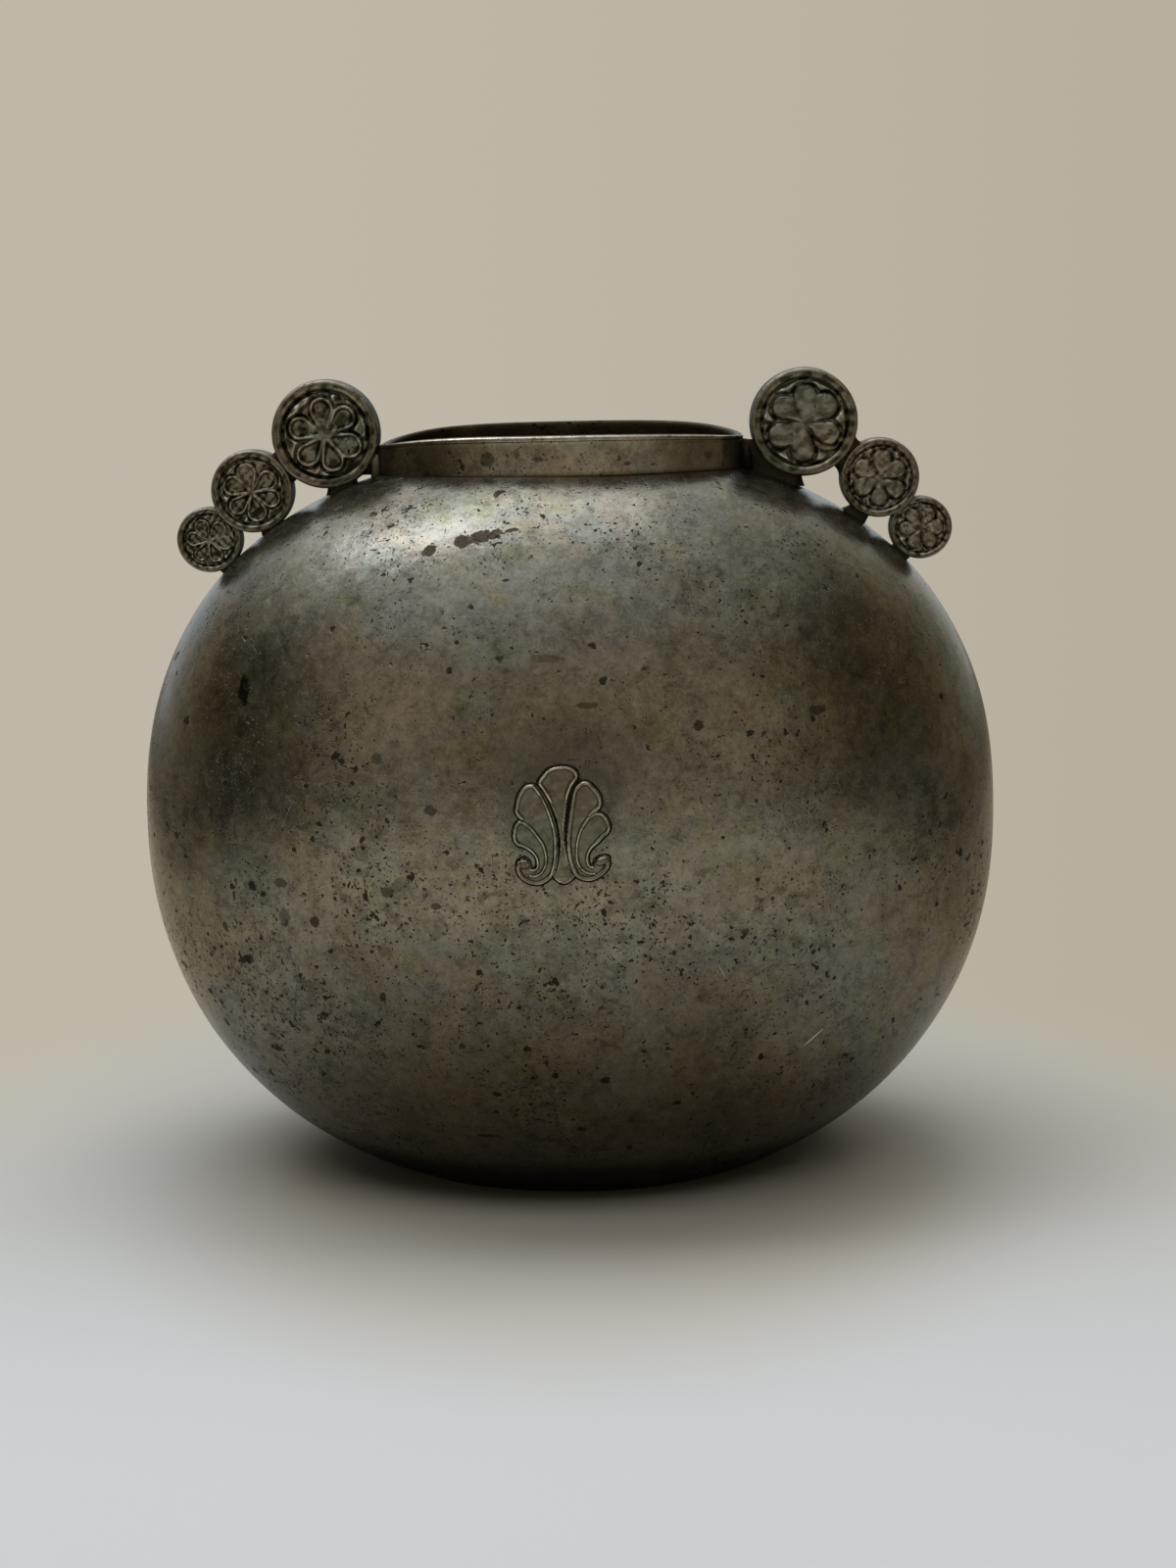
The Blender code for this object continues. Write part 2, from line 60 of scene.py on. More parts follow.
# Body, as its solids have it
BODY_LOW, BODY_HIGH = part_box("body_front")
HALF_WIDTH = BODY_HIGH.x
HALF_DEPTH = -BODY_LOW.y
DEPTH_RATIO = HALF_DEPTH / HALF_WIDTH
WALL = 0.0020
WIDEST_HEIGHT = 0.0754
SHOULDER_FULLNESS = 2.36
BELLY_FULLNESS = 2.18
NECK_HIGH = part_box("neck_collar")[1]
NECK_HALF_WIDTH = NECK_HIGH.x
NECK_HALF_DEPTH = NECK_HIGH.y
NECK_FOOT_HEIGHT = 0.1494
BASE_HALF_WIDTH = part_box("base_plate")[1].x


def pole_reach(share, height, fullness):
    """Half height of the curve that is at that share of its full width at the height"""
    return height / (1 - share ** fullness) ** (1 / fullness)


SHOULDER_REACH = pole_reach(NECK_HALF_WIDTH / HALF_WIDTH, NECK_FOOT_HEIGHT - WIDEST_HEIGHT, SHOULDER_FULLNESS)
BELLY_REACH = pole_reach(BASE_HALF_WIDTH / HALF_WIDTH, WIDEST_HEIGHT, BELLY_FULLNESS)


def level_share(height):
    """Width of the body at a height, as a share of its greatest width"""
    rise = height - WIDEST_HEIGHT
    reach, fullness = (SHOULDER_REACH, SHOULDER_FULLNESS) if rise > 0 else (BELLY_REACH, BELLY_FULLNESS)
    return max(0.0, 1 - (abs(rise) / reach) ** fullness) ** (1 / fullness)


def smooth(low, high, value):
    """0 up to the low value and 1 from the high one, with an eased rise between them"""
    share = np.clip((value - low) / (high - low), 0, 1)
    return share * share * (3 - 2 * share)


def ring_turns(count):
    """Angles of points at even spacing round a ring"""
    return np.linspace(0, FULL_TURN, count, endpoint=False)


def turned(across, up, degrees):
    """How far a place lies along a direction, and how far beside it"""
    turn = math.radians(degrees)
    return across * math.cos(turn) + up * math.sin(turn), up * math.cos(turn) - across * math.sin(turn)


def sum_around(function, x, y, reach, steps):
    """Sum of a function's values on a ring round a place"""
    return sum(function(x + reach * math.cos(turn), y + reach * math.sin(turn)) for turn in ring_turns(steps))


# Mesh helpers
def ring_faces(rows, count, start=0, closed=False):
    """Faces between rows of points, each row a closed ring"""
    faces = []
    for row in range(rows if closed else rows - 1):
        first, after = start + row * count, start + (row + 1) % rows * count
        for step in range(count):
            beside = (step + 1) % count
            faces.append((first + step, first + beside, after + beside, after + step))
    return faces


def add_mesh(name, points, faces, smooth_degrees=None, **levels):
    """Object of points and faces. Each level is a number stored on every point"""
    mesh = bpy.data.meshes.new(name)
    mesh.from_pydata(points.tolist(), [], faces)
    for label, values in levels.items():
        store = mesh.attributes.new(label, "FLOAT", "POINT")
        store.data.foreach_set("value", np.asarray(values, dtype=np.float32))
    form = bmesh.new()
    form.from_mesh(mesh)
    bmesh.ops.recalc_face_normals(form, faces=form.faces)
    form.to_mesh(mesh)
    form.free()
    mesh.shade_smooth()
    if smooth_degrees:
        mesh.set_sharp_from_angle(angle=math.radians(smooth_degrees))
    obj = bpy.data.objects.new(name, mesh)
    bpy.context.scene.collection.objects.link(obj)
    return obj


# Node helpers
class Field:
    """What a node gives, so that sums of fields read as plain ones"""

    def __init__(self, nodes, socket):
        self.nodes = nodes
        self.socket = socket

    def __add__(self, other):
        return self.nodes.math("ADD", self, other)

    def __sub__(self, other):
        return self.nodes.math("SUBTRACT", self, other)

    def __mul__(self, other):
        return self.nodes.math("MULTIPLY", self, other)

    def __truediv__(self, other):
        return self.nodes.math("DIVIDE", self, other)

    def __pow__(self, other):
        return self.nodes.math("POWER", self, other)

    def __abs__(self):
        return self.nodes.math("ABSOLUTE", self)

    def most(self, other):
        return self.nodes.math("MAXIMUM", self, other)

    def shape(self, low, high, to_low=0.0, to_high=1.0, kind="SMOOTHSTEP"):
        """The field carried from one range into another, held at its ends"""
        inputs = dict(enumerate((self, low, high, to_low, to_high)))
        return self.nodes.field("MapRange", inputs, interpolation_type=kind)


def largest(fields):
    result = fields[0]
    for field in fields[1:]:
        result = result.most(field)
    return result


class Nodes:
    """Builds a node tree in few words"""

    def __init__(self, tree, coordinates):
        self.tree = tree
        self.place = self.field("TexCoord", output=coordinates)

    def put(self, value, socket):
        if isinstance(value, Field):
            self.tree.links.new(value.socket, socket)
        elif socket.type == "RGBA":
            socket.default_value = (*value, 1.0)
        else:
            socket.default_value = value

    def node(self, kind, inputs=(), **settings):
        """A new node with its settings, and its inputs filled in by name or number"""
        node = self.tree.nodes.new("ShaderNode" + kind)
        for key, value in settings.items():
            setattr(node, key, value)
        for key, value in dict(inputs).items():
            self.put(value, node.inputs[key])
        return node

    def field(self, kind, inputs=(), output=0, **settings):
        return Field(self, self.node(kind, inputs, **settings).outputs[output])

    def fields(self, kind, inputs, **settings):
        return [Field(self, output) for output in self.node(kind, inputs, **settings).outputs]

    def parts(self):
        """The three numbers of the place"""
        return self.fields("SeparateXYZ", {0: self.place})

    def math(self, operation, *values):
        return self.field("Math", dict(enumerate(values)), operation=operation)

    def vector(self, operation, first, second):
        return self.field("VectorMath", {0: first, 1: second}, operation=operation)

    def distance(self, first, second):
        return self.math("SQRT", first ** 2 + second ** 2)

    def noise(self, size, detail=2.0, roughness=0.5, stretch=(1, 1, 1), turn=(0, 0, 0), shift=(0, 0, 0),
              warp=0.0):
        """Noise whose grains are about that size in metres"""
        place = self.field("Mapping", {
            "Vector": self.place, "Scale": tuple(1 / (size * part) for part in stretch),
            "Rotation": tuple(math.radians(part) for part in turn), "Location": shift})
        inputs = {"Vector": place, "Scale": 1.0, "Detail": detail, "Roughness": roughness, "Distortion": warp}
        return self.field("TexNoise", inputs, "Fac")

    def pits(self, spacing, size, ragged):
        """1 in the middle of scattered pits and 0 between them, and each pit's chance. Sizes are in metres"""
        inputs = {"Vector": self.place, "Scale": 1 / size, "Detail": 1.0}
        warp = self.vector("SUBTRACT", self.field("TexNoise", inputs, "Color"), (0.5, 0.5, 0.5))
        warp = self.field("VectorMath", {0: warp, "Scale": size * ragged * 2}, operation="SCALE")
        place = self.vector("ADD", self.vector("ADD", self.place, warp), PIT_SHIFT)
        inputs = {"Vector": place, "Scale": 1 / spacing}
        away, colour, *_ = self.fields("TexVoronoi", inputs, feature="F1")
        random_size, chance, _ = self.fields("SeparateColor", {0: colour})
        share = size / spacing
        return (away / (random_size ** 3 * (share * 0.8) + share * 0.2)).shape(1.0, 0.55), chance

    def mix(self, factor, first, second, blend_type="MIX", data_type="RGBA", **settings):
        settings.update(blend_type=blend_type, data_type=data_type)
        return self.field("Mix", {"Factor": factor, "A": first, "B": second}, "Result", **settings)

    def bump(self, height, depth, under=None):
        """Bump of a height field whose full range stands for the depth in metres"""
        inputs = {"Strength": 1.0, "Distance": depth, "Height": height}
        if under:
            inputs["Normal"] = under
        return self.field("Bump", inputs)

    def level(self, name):
        """Number stored on the mesh's points under that name"""
        return self.field("Attribute", output="Fac", attribute_name=name)


class Shader(Nodes):
    """A new material and its nodes"""

    def __init__(self, name):
        self.material = bpy.data.materials.new(name)
        self.material.use_nodes = True
        super().__init__(self.material.node_tree, "Object")
        self.principled = self.tree.nodes["Principled BSDF"]
        self.spot_fields = None


# Slow swells and dents that the body has: depth in metres, waves a metre along each axis, start
SWELLS = (
    (0.00011, (38, 11, 52), 0.4), (0.00009, (61, 23, 17), 1.9), (0.00007, (-47, 35, 96), 3.1),
    (0.00005, (118, -29, 83), 5.2), (0.00004, (-139, 67, 41), 0.9), (0.00003, (171, 88, -153), 2.6),
)


def swell(x, y, z):
    """Departure of the body from its plain curve, along its normal"""
    return sum(depth * np.sin(rate[0] * x + rate[1] * y + rate[2] * z + start)
               for depth, rate, start in SWELLS)


def body_normal(x, y, z):
    """Normal of the body's plain curve, for arrays of points on it"""
    rise = z - WIDEST_HEIGHT
    upper = rise > 0
    fullness = np.where(upper, SHOULDER_FULLNESS, BELLY_FULLNESS)
    reach = np.where(upper, SHOULDER_REACH, BELLY_REACH)
    share = np.maximum(np.sqrt((x / HALF_WIDTH) ** 2 + (y / HALF_DEPTH) ** 2), 1e-6)
    grade = share ** (fullness - 2)
    upright = np.sign(rise) * (np.abs(rise) / reach) ** (fullness - 1) / reach
    normal = np.stack([grade * x / HALF_WIDTH ** 2, grade * y / HALF_DEPTH ** 2, upright], axis=-1)
    return normal / np.linalg.norm(normal, axis=-1, keepdims=True)


def side_profile(top_radius, foot_radius, spacing):
    """Radius and height down the body's side at even spacing, from its opening to its foot"""
    def quarter(fullness, reach, end_radius):
        last = math.acos((end_radius / HALF_WIDTH) ** (fullness / 2))
        angle = np.linspace(0, last, PROFILE_SAMPLES)
        power = 2 / fullness
        return np.stack([HALF_WIDTH * np.cos(angle) ** power, reach * np.sin(angle) ** power], 1)

    upper = quarter(SHOULDER_FULLNESS, SHOULDER_REACH, top_radius)[::-1]
    lower = quarter(BELLY_FULLNESS, BELLY_REACH, foot_radius)[1:] * (1, -1)
    line = np.concatenate([upper, lower])
    line[:, 1] += WIDEST_HEIGHT
    along = np.concatenate([[0], np.cumsum(np.hypot(*np.diff(line, axis=0).T))])
    near_neck = np.arange(0, FINE_REACH, FINE_SPACING)
    marks = np.concatenate([near_neck, np.linspace(FINE_REACH, along[-1], int(along[-1] / spacing))])
    return np.stack([np.interp(marks, along, line[:, 0]), np.interp(marks, along, line[:, 1])], 1)


JOINT_GAP = 0.00025
UNDER_NECK = 0.0011
FINE_REACH = 0.0048
FINE_SPACING = 0.0004
FOOT_LIFT = 0.00025
# Painted shade: how dark the inside of the body is made
INSIDE_SHADE = 0.9
BODY_SEGMENTS = 288
BODY_SPACING = 0.0016
PROFILE_SAMPLES = 1500


def neck_wall(turn):
    """Outer wall of the neck seen from above. Its front is set back a little, more on the left"""
    across = NECK_HALF_WIDTH * np.cos(turn)
    front = smooth(0.0, -0.7, np.sin(turn))
    back_set = (0.0004 + 0.0007 * smooth(0.012, -0.015, across)) * front
    return np.stack([across, NECK_HALF_DEPTH * np.sin(turn) + back_set], 1)


def make_body():
    """The whole body as one shell, open at the neck and at the base"""
    outline = side_profile(NECK_HALF_WIDTH - UNDER_NECK, BASE_HALF_WIDTH + JOINT_GAP, BODY_SPACING)
    turn = ring_turns(BODY_SEGMENTS)
    neck = neck_wall(turn)
    outer, inner, soiled_and_shaded = [], [], []
    for radius, height in outline:
        x = radius * np.cos(turn)
        y = radius * np.sin(turn) * DEPTH_RATIO
        z = np.full_like(x, height)
        normal = body_normal(x, y, z)
        place = np.stack([x, y, z], 1)
        moved = place + normal * swell(x, y, z)[:, None]
        moved[:, 2] += FOOT_LIFT * smooth(0.004, 0.0, height)
        outer.append(moved)
        inner.append(place - normal * WALL)
        to_neck = np.abs(np.hypot(x, y) - np.hypot(*neck.T)) if height > NECK_FOOT_HEIGHT - 0.004 else 1.0
        near_neck = 0.9 * smooth(0.0009, 0.0002, to_neck)
        # Painted shade: the body darker towards its foot, most in the middle of the front, where it mirrors
        # the floor's shadow
        near_foot = 0.58 * smooth(0.080, 0.026, height) * (1 - 0.76 * smooth(0.026, 0.066, np.abs(x)))
        near_foot = np.maximum(near_foot, smooth(0.020, 0.007, height))
        soiled_and_shaded.append(np.maximum(near_neck, near_foot) * np.ones(BODY_SEGMENTS))
    rows = [*outer, *reversed(inner)]
    # Painted shade: the inside of the shell made dark
    soiled_and_shaded += [np.full(BODY_SEGMENTS, INSIDE_SHADE)] * len(inner)
    faces = ring_faces(len(rows), BODY_SEGMENTS, closed=True)
    return add_mesh("vase_body", np.concatenate(rows), faces, 40, dirt=np.concatenate(soiled_and_shaded))


# Cross-section of the neck's wall: outwards from the outer face, and height over the foot of the neck
NECK_OUTLINE = (
    (-0.0017, -0.0019), (-0.00004, -0.0019), (0.0, -0.0016), (0.0, 0.0001), (0.0, 0.0005), (0.0, 0.0012),
    (0.0, 0.0026), (0.0, 0.0044), (0.0, 0.0062), (0.0, 0.0066), (-0.00003, 0.0067), (-0.0001, 0.0068),
    (-0.00011, 0.0069), (-0.00006, 0.0070), (0.00004, 0.00712), (0.0001, 0.00732), (0.00008, 0.00764),
    (-0.00006, 0.00792), (-0.00034, 0.00812), (-0.00075, 0.0082), (-0.00118, 0.00814), (-0.0015, 0.00798),
    (-0.0017, 0.00766), (-0.00178, 0.0071), (-0.00178, 0.0050), (-0.00174, 0.0020), (-0.0017, 0.0),
)
NECK_INSIDE_FROM = 21
NECK_HEIGHT = 0.0082
# Painted shade: how dark the inside of the neck is made
NECK_INSIDE_SHADE = 0.92
NECK_SEGMENTS = 288
LEFT_DIP = 0.0021
RIGHT_DIP = 0.0014
BACK_RISE = 0.0011
DIP_POWER = 4


def make_neck():
    """Upright oval band with a rounded lip over a fine line, which dips towards the handles"""
    turn = ring_turns(NECK_SEGMENTS)
    outward = np.stack([np.cos(turn) * NECK_HALF_DEPTH, np.sin(turn) * NECK_HALF_WIDTH], 1)
    outward = outward / np.linalg.norm(outward, axis=1, keepdims=True)
    wall = neck_wall(turn)
    share = np.abs(np.cos(turn)) ** DIP_POWER
    dip = share * np.where(np.cos(turn) < 0, LEFT_DIP, RIGHT_DIP)
    dip = dip - BACK_RISE * smooth(-0.2, 0.8, np.sin(turn))
    dip = dip + 0.00025 * smooth(0.1, 0.7, np.cos(turn)) * smooth(0.0, -0.5, np.sin(turn))
    wave = 0.00006 * np.sin(5 * turn + 0.7) + 0.00005 * np.sin(11 * turn + 2.1)
    rows = []
    for out, height in NECK_OUTLINE:
        stand = max(0.0, height) / NECK_HEIGHT
        flat = wall + outward * np.reshape(out + wave * stand, (-1, 1))
        z = NECK_FOOT_HEIGHT + height - dip * stand ** 1.5
        rows.append(np.column_stack([flat, z]))
    soiled_and_shaded, worn = [], []
    far_side = smooth(-0.05, 0.15, np.sin(turn))
    for number, (out, height) in enumerate(NECK_OUTLINE):
        inside = number >= NECK_INSIDE_FROM or number == 0
        near_foot = 0.9 * (height < 0.0002) + 0.45 * (0.0002 <= height < 0.0006)
        fine_line = 0.0066 < height < 0.0072 and out < 0.00001
        in_line = (0.10 + 0.55 * smooth(-0.004, -0.024, wall[:, 0])) * fine_line
        # Painted shade: the back half of the lip made dark
        far_lip_shade = 0.7 * far_side * (height > 0.0065)
        on_top = 0.85 * (out < -0.0003 and height > 0.0078)
        # Left half stained; painted shade at the right end, where the band turns away
        stain_and_shade = 0.62 * smooth(-0.004, -0.030, wall[:, 0]) + 0.45 * smooth(0.0325, 0.0335, wall[:, 0])
        level = np.maximum(np.maximum(in_line, far_lip_shade), max(near_foot, on_top))
        level = np.maximum(level, stain_and_shade * (height < 0.0078))
        # Painted shade: the inside of the neck made dark
        soiled_and_shaded.append(np.full(NECK_SEGMENTS, NECK_INSIDE_SHADE) if inside else level)
        crest = -0.0002 < out < 0.0 and height > 0.0079
        worn.append((1 - far_side) * (0.8 if crest else 0.0))
    faces = ring_faces(len(rows), NECK_SEGMENTS, closed=True)
    return add_mesh("neck_band", np.concatenate(rows), faces, 50, dirt=np.concatenate(soiled_and_shaded),
                    wear=np.concatenate(worn))


# Rosettes, in millimetres on the large one and scaled for the others
RIM_RADIUS = 11.4
RIM_ROUND = 0.8
RIM_MIDDLE = 10.45
FLOOR_RADIUS = 9.35
PETAL_BEGIN = 0.18
PETAL_END = 2.62
PETAL_CENTRE = 5.55
CREVICE = -1.30
FLOWER_DROP = 0.25
SOFTNESS = 0.26
WORN_LEVEL = -0.70
WAVE_COUNT = 14
BLOTCH_WAVES = 8
BEND_REACH = 0.42
DOMED_GROWTH = 0.16
DISC_MIDDLE = 0.12
CORNER_STEPS = 7
SIDE_STEPS = 9


def petal_distance(across, along, growth):
    """Signed distance to a petal that widens from the flower's middle to its round tip"""
    across = np.abs(across)
    end = PETAL_END + growth
    lean = (PETAL_BEGIN - end) / PETAL_CENTRE
    rest = math.sqrt(1 - lean * lean)
    mark = along * rest - across * lean
    start_cap = np.hypot(across, along) - PETAL_BEGIN
    end_cap = np.hypot(across, along - PETAL_CENTRE) - end
    flank = across * rest + along * lean - PETAL_BEGIN
    return np.where(mark < 0, start_cap, np.where(mark > rest * PETAL_CENTRE, end_cap, flank))


def flower_distance(x, y, petals):
    """Signed distance to the nearest of the petals, each given by its direction and its growth"""
    nearest = np.full_like(x, 99.0)
    for degrees, growth in petals:
        along, across = turned(x, y, degrees)
        nearest = np.minimum(nearest, petal_distance(across, along, growth))
    return nearest


class Rosette:
    """One face of a rosette: its kind of petals, their directions and its own unevenness"""

    def __init__(self, hollow, directions, seed):
        self.hollow = hollow
        draw = np.random.default_rng(seed)
        self.waves = [(draw.uniform(0.015, 0.045), draw.uniform(-2.6, 2.6), draw.uniform(-2.6, 2.6),
                       draw.uniform(0, FULL_TURN)) for _ in range(WAVE_COUNT)]
        base_growth = 0.0 if hollow else DOMED_GROWTH
        self.petals = [(degrees, base_growth + draw.uniform(-0.26, 0.12)) for degrees in directions]
        self.worn_place = (draw.uniform(-5.0, 5.0), draw.uniform(1.0, 6.0))

    def height(self, x, y):
        """Height over the crest of the rim at a point of the face, its edges rounded by wear"""
        return (sum_around(self.carved, x, y, SOFTNESS, 4) + 2 * self.carved(x, y)) / 6

    def carved(self, x, y):
        """Height of the face before its edges are rounded"""
        radius = np.hypot(x, y)
        uneven = sum(depth * np.sin(across * x + up * y + start) for depth, across, up, start in self.waves)
        edge = flower_distance(x, y + FLOWER_DROP, self.petals)
        gap = np.minimum(edge - 0.32, FLOOR_RADIUS - 0.30 - radius)
        if self.hollow:
            crown = -0.30 - 0.10 * ((edge + 0.24) / 0.24) ** 2
            face = np.where(edge > -0.48, np.maximum(crown, -0.42), -0.40)
            face = face - 0.62 * smooth(-0.40, -0.92, edge) - 0.22 * smooth(-0.9, -2.4, edge)
            face = np.where(edge > 0.0, -0.36 + (CREVICE + 0.36) * smooth(0.0, 0.34, edge), face)
            dart = 0.80 * smooth(0.0, 0.42, gap) * (1 + 4 * uneven)
        else:
            inside = np.clip(-edge / 2.1, 0, 1)
            crown = np.sqrt(np.clip(1 - (1 - inside) ** 2, 0, 1))
            face = CREVICE + 0.12 + (1.02 * crown ** 0.85) * (0.72 + 0.28 * smooth(0.4, 3.6, radius))
            dart = 0.66 * smooth(0.0, 0.40, gap) * (1 + 4 * uneven)
        face = face + dart + uneven
        faded = (0.55 if self.hollow else 0.25) * smooth(
            5.6, 1.8, np.hypot(x - self.worn_place[0], y - self.worn_place[1]))
        face = face + (WORN_LEVEL - face) * faded
        rim = -0.32 * ((radius - RIM_MIDDLE) / 1.0) ** 2 + uneven * 0.6
        face = face + (rim - face) * smooth(FLOOR_RADIUS - 0.28, FLOOR_RADIUS + 0.22, radius)
        return face

    def blotch(self, x, y):
        """Uneven patina from 0 to 1, in patches of two or three millimetres"""
        total = sum(np.sin(1.15 * across * x + 1.15 * up * y + 2 * start)
                    for _, across, up, start in self.waves[:BLOTCH_WAVES])
        return smooth(-2.6, 2.6, total)

    def bend(self, x, y):
        """How far a point lies under what is round it: over 0 in a recess, under 0 on a ridge"""
        return sum_around(self.height, x, y, BEND_REACH, 6) / 6 - self.height(x, y)


class Casting:
    """Gathers closed shells and the numbers on their points into one mesh"""

    def __init__(self):
        self.points, self.faces, self.dirt, self.wear = [], [], [], []

    def rings(self, rows, dirt, wear):
        """Adds a shell of closed rings with a flat face over its first and its last ring"""
        count = len(rows[0])
        start = sum(len(part) for part in self.points)
        last = start + (len(rows) - 1) * count
        for store, parts in ((self.points, rows), (self.dirt, dirt), (self.wear, wear)):
            store.append(np.concatenate(parts))
        self.faces += ring_faces(len(rows), count, start)
        self.faces += [tuple(range(start, start + count)), tuple(range(last, last + count))]

    def finish(self, name):
        points, dirt, wear = (np.concatenate(parts) for parts in (self.points, self.dirt, self.wear))
        return add_mesh(name, points, self.faces, 45, dirt=dirt, wear=wear)


def add_disc(casting, centre, radius, thickness, front, back, rings, segments):
    """A thick disc with a rosette on both faces. The centre is across and up, in metres"""
    scale = radius / (RIM_RADIUS * MM)
    turn = ring_turns(segments)
    inner = np.linspace(DISC_MIDDLE, RIM_RADIUS - RIM_ROUND, rings)
    corner = np.linspace(0, math.pi / 2, CORNER_STEPS)[1:]
    rows, dirt, wear = [], [], []

    def add_row(ring_radius, depth, soiled_and_shaded, worn):
        across = centre[0] + ring_radius * scale * MM * np.cos(turn)
        up = centre[1] + ring_radius * scale * MM * np.sin(turn)
        rows.append(np.column_stack([across, depth, up]))
        dirt.append(soiled_and_shaded)
        wear.append(worn)

    def face_rows(rosette, side):
        result = []
        for ring in inner:
            x, y = ring * np.cos(turn), ring * np.sin(turn)
            height = rosette.height(x, y)
            bend = rosette.bend(x, y)
            deep = smooth(-0.35, -1.1, height)
            blotch = rosette.blotch(x, y)
            # Painted shade along the foot of the ridges, mixed with patches of patina
            hollow = 0.85 * smooth(0.01, 0.20, bend) * (0.28 + 0.72 * smooth(0.30, 0.75, blotch))
            on_rim = 0.36 * smooth(FLOOR_RADIUS - 0.2, FLOOR_RADIUS + 0.4, ring)
            soiled_and_shaded = np.clip(0.22 * deep * (0.4 + blotch) + hollow + 0.45 * blotch ** 3 + on_rim, 0, 1)
            worn = 0.8 * smooth(-0.01, -0.11, bend) * smooth(-1.0, -0.25, height) * (1.15 - blotch)
            result.append((ring, side * (thickness / 2 + height * scale * MM), soiled_and_shaded, worn))
        edge_height = rosette.height(inner[-1] * np.cos(turn), inner[-1] * np.sin(turn))
        for angle in corner:
            ring = RIM_RADIUS - RIM_ROUND * (1 - math.sin(angle))
            height = edge_height * (1 - angle / (math.pi / 2)) - RIM_ROUND * (1 - math.cos(angle))
            worn = np.full(segments, 0.55 * math.sin(2 * angle))
            soiled_and_shaded = np.full(segments, 0.36 + 0.25 * smooth(0.7, 1.5, angle))
            result.append((ring, side * (thickness / 2 + height * scale * MM), soiled_and_shaded, worn))
        return result

    front_rows = face_rows(front, -1)
    back_rows = face_rows(back, 1)
    for item in front_rows:
        add_row(*item)
    front_edge, back_edge = front_rows[-1][1], back_rows[-1][1]
    # Painted shade: the side of each disc darker where it faces the vase and downwards
    toward_vase = -math.copysign(0.75, centre[0]) * np.cos(turn) - 0.5 * np.sin(turn)
    for share in np.linspace(0, 1, SIDE_STEPS)[1:-1]:
        bulge = 0.10 * math.sin(math.pi * share) + 0.05 * np.sin(3 * turn + 7 * share)
        soiled_and_shaded = 0.45 + 0.55 * smooth(-0.15, 0.45, toward_vase) + 0.10 * np.sin(5 * turn + 4 * share)
        add_row(RIM_RADIUS + bulge, front_edge + (back_edge - front_edge) * share, np.clip(soiled_and_shaded, 0, 1),
                np.zeros(segments))
    for item in reversed(back_rows):
        add_row(*item)
    casting.rings(rows, dirt, wear)


SECTION_STEPS = 20
BAR_ROWS = 14
BAR_SQUARENESS = 0.55


def add_bar(casting, start, end, widths, thicknesses, soiled_and_shaded):
    """A waisted bar in the plane of the handles: widths and thicknesses at its start, middle and end"""
    along = np.array(end) - np.array(start)
    length = np.hypot(*along)
    along = along / length
    beside = np.array((-along[1], along[0]))
    turn = ring_turns(SECTION_STEPS)
    round_across = np.sign(np.cos(turn)) * np.abs(np.cos(turn)) ** BAR_SQUARENESS
    round_deep = np.sign(np.sin(turn)) * np.abs(np.sin(turn)) ** BAR_SQUARENESS
    rows = []
    for share in np.linspace(0, 1, BAR_ROWS):
        end_number = 2 if share >= 0.5 else 0
        blend = (abs(share - 0.5) * 2) ** 2
        width, depth = (sizes[1] + (sizes[end_number] - sizes[1]) * blend for sizes in (widths, thicknesses))
        middle = np.array(start) + along * length * share
        across = middle[0] + beside[0] * round_across * width / 2
        up = middle[1] + beside[1] * round_across * width / 2
        rows.append(np.column_stack([across, round_deep * depth / 2, up]))
    casting.rings(rows, [np.full(SECTION_STEPS, soiled_and_shaded)] * BAR_ROWS, [np.zeros(SECTION_STEPS)] * BAR_ROWS)


# Handles, in metres: centres of the discs from the middle of the vase, radii, thicknesses, rings, segments
DISCS = {
    -1: (("large", (0.0485, 0.1580), 0.01104, 0.0066, 58, 240),
         ("middle", (0.0643, 0.1466), 0.00850, 0.0054, 46, 192),
         ("small", (0.0738, 0.1367), 0.00672, 0.0046, 38, 144)),
    1: (("large", (0.0502, 0.1584), 0.01098, 0.0068, 58, 240),
        ("middle", (0.0658, 0.1467), 0.00810, 0.0056, 46, 192),
        ("small", (0.0744, 0.1362), 0.00640, 0.0046, 38, 144)),
}
# Directions of the petals in degrees, seen from the front
HOLLOW_PETALS = {
    "large": (42, 96, 163, 227, 285, 336),
    "middle": (36, 104, 160, 222, 282, 342),
    "small": (50, 115, 172, 236, 293, 352),
}
DOMED_PETALS = {
    "large": (39, 88, 142, 207, 266, 336),
    "middle": (27, 84, 148, 205, 268, 325),
    "small": (4, 62, 124, 180, 243, 305),
}
# Foot of the large disc: its middle and its width, on the left and on the right
LARGE_FEET = {-1: (0.0454, 0.0070), 1: (0.0440, 0.0122)}
LUG_HEIGHT = 0.1522
LUG_END = 0.0440
LEFT_SEED = 11
RIGHT_SEED = 41


def shoulder_height(x):
    """Height of the shoulder in the plane of the handles"""
    share = min(1.0, abs(x) / HALF_WIDTH)
    return WIDEST_HEIGHT + SHOULDER_REACH * (1 - share ** SHOULDER_FULLNESS) ** (1 / SHOULDER_FULLNESS)


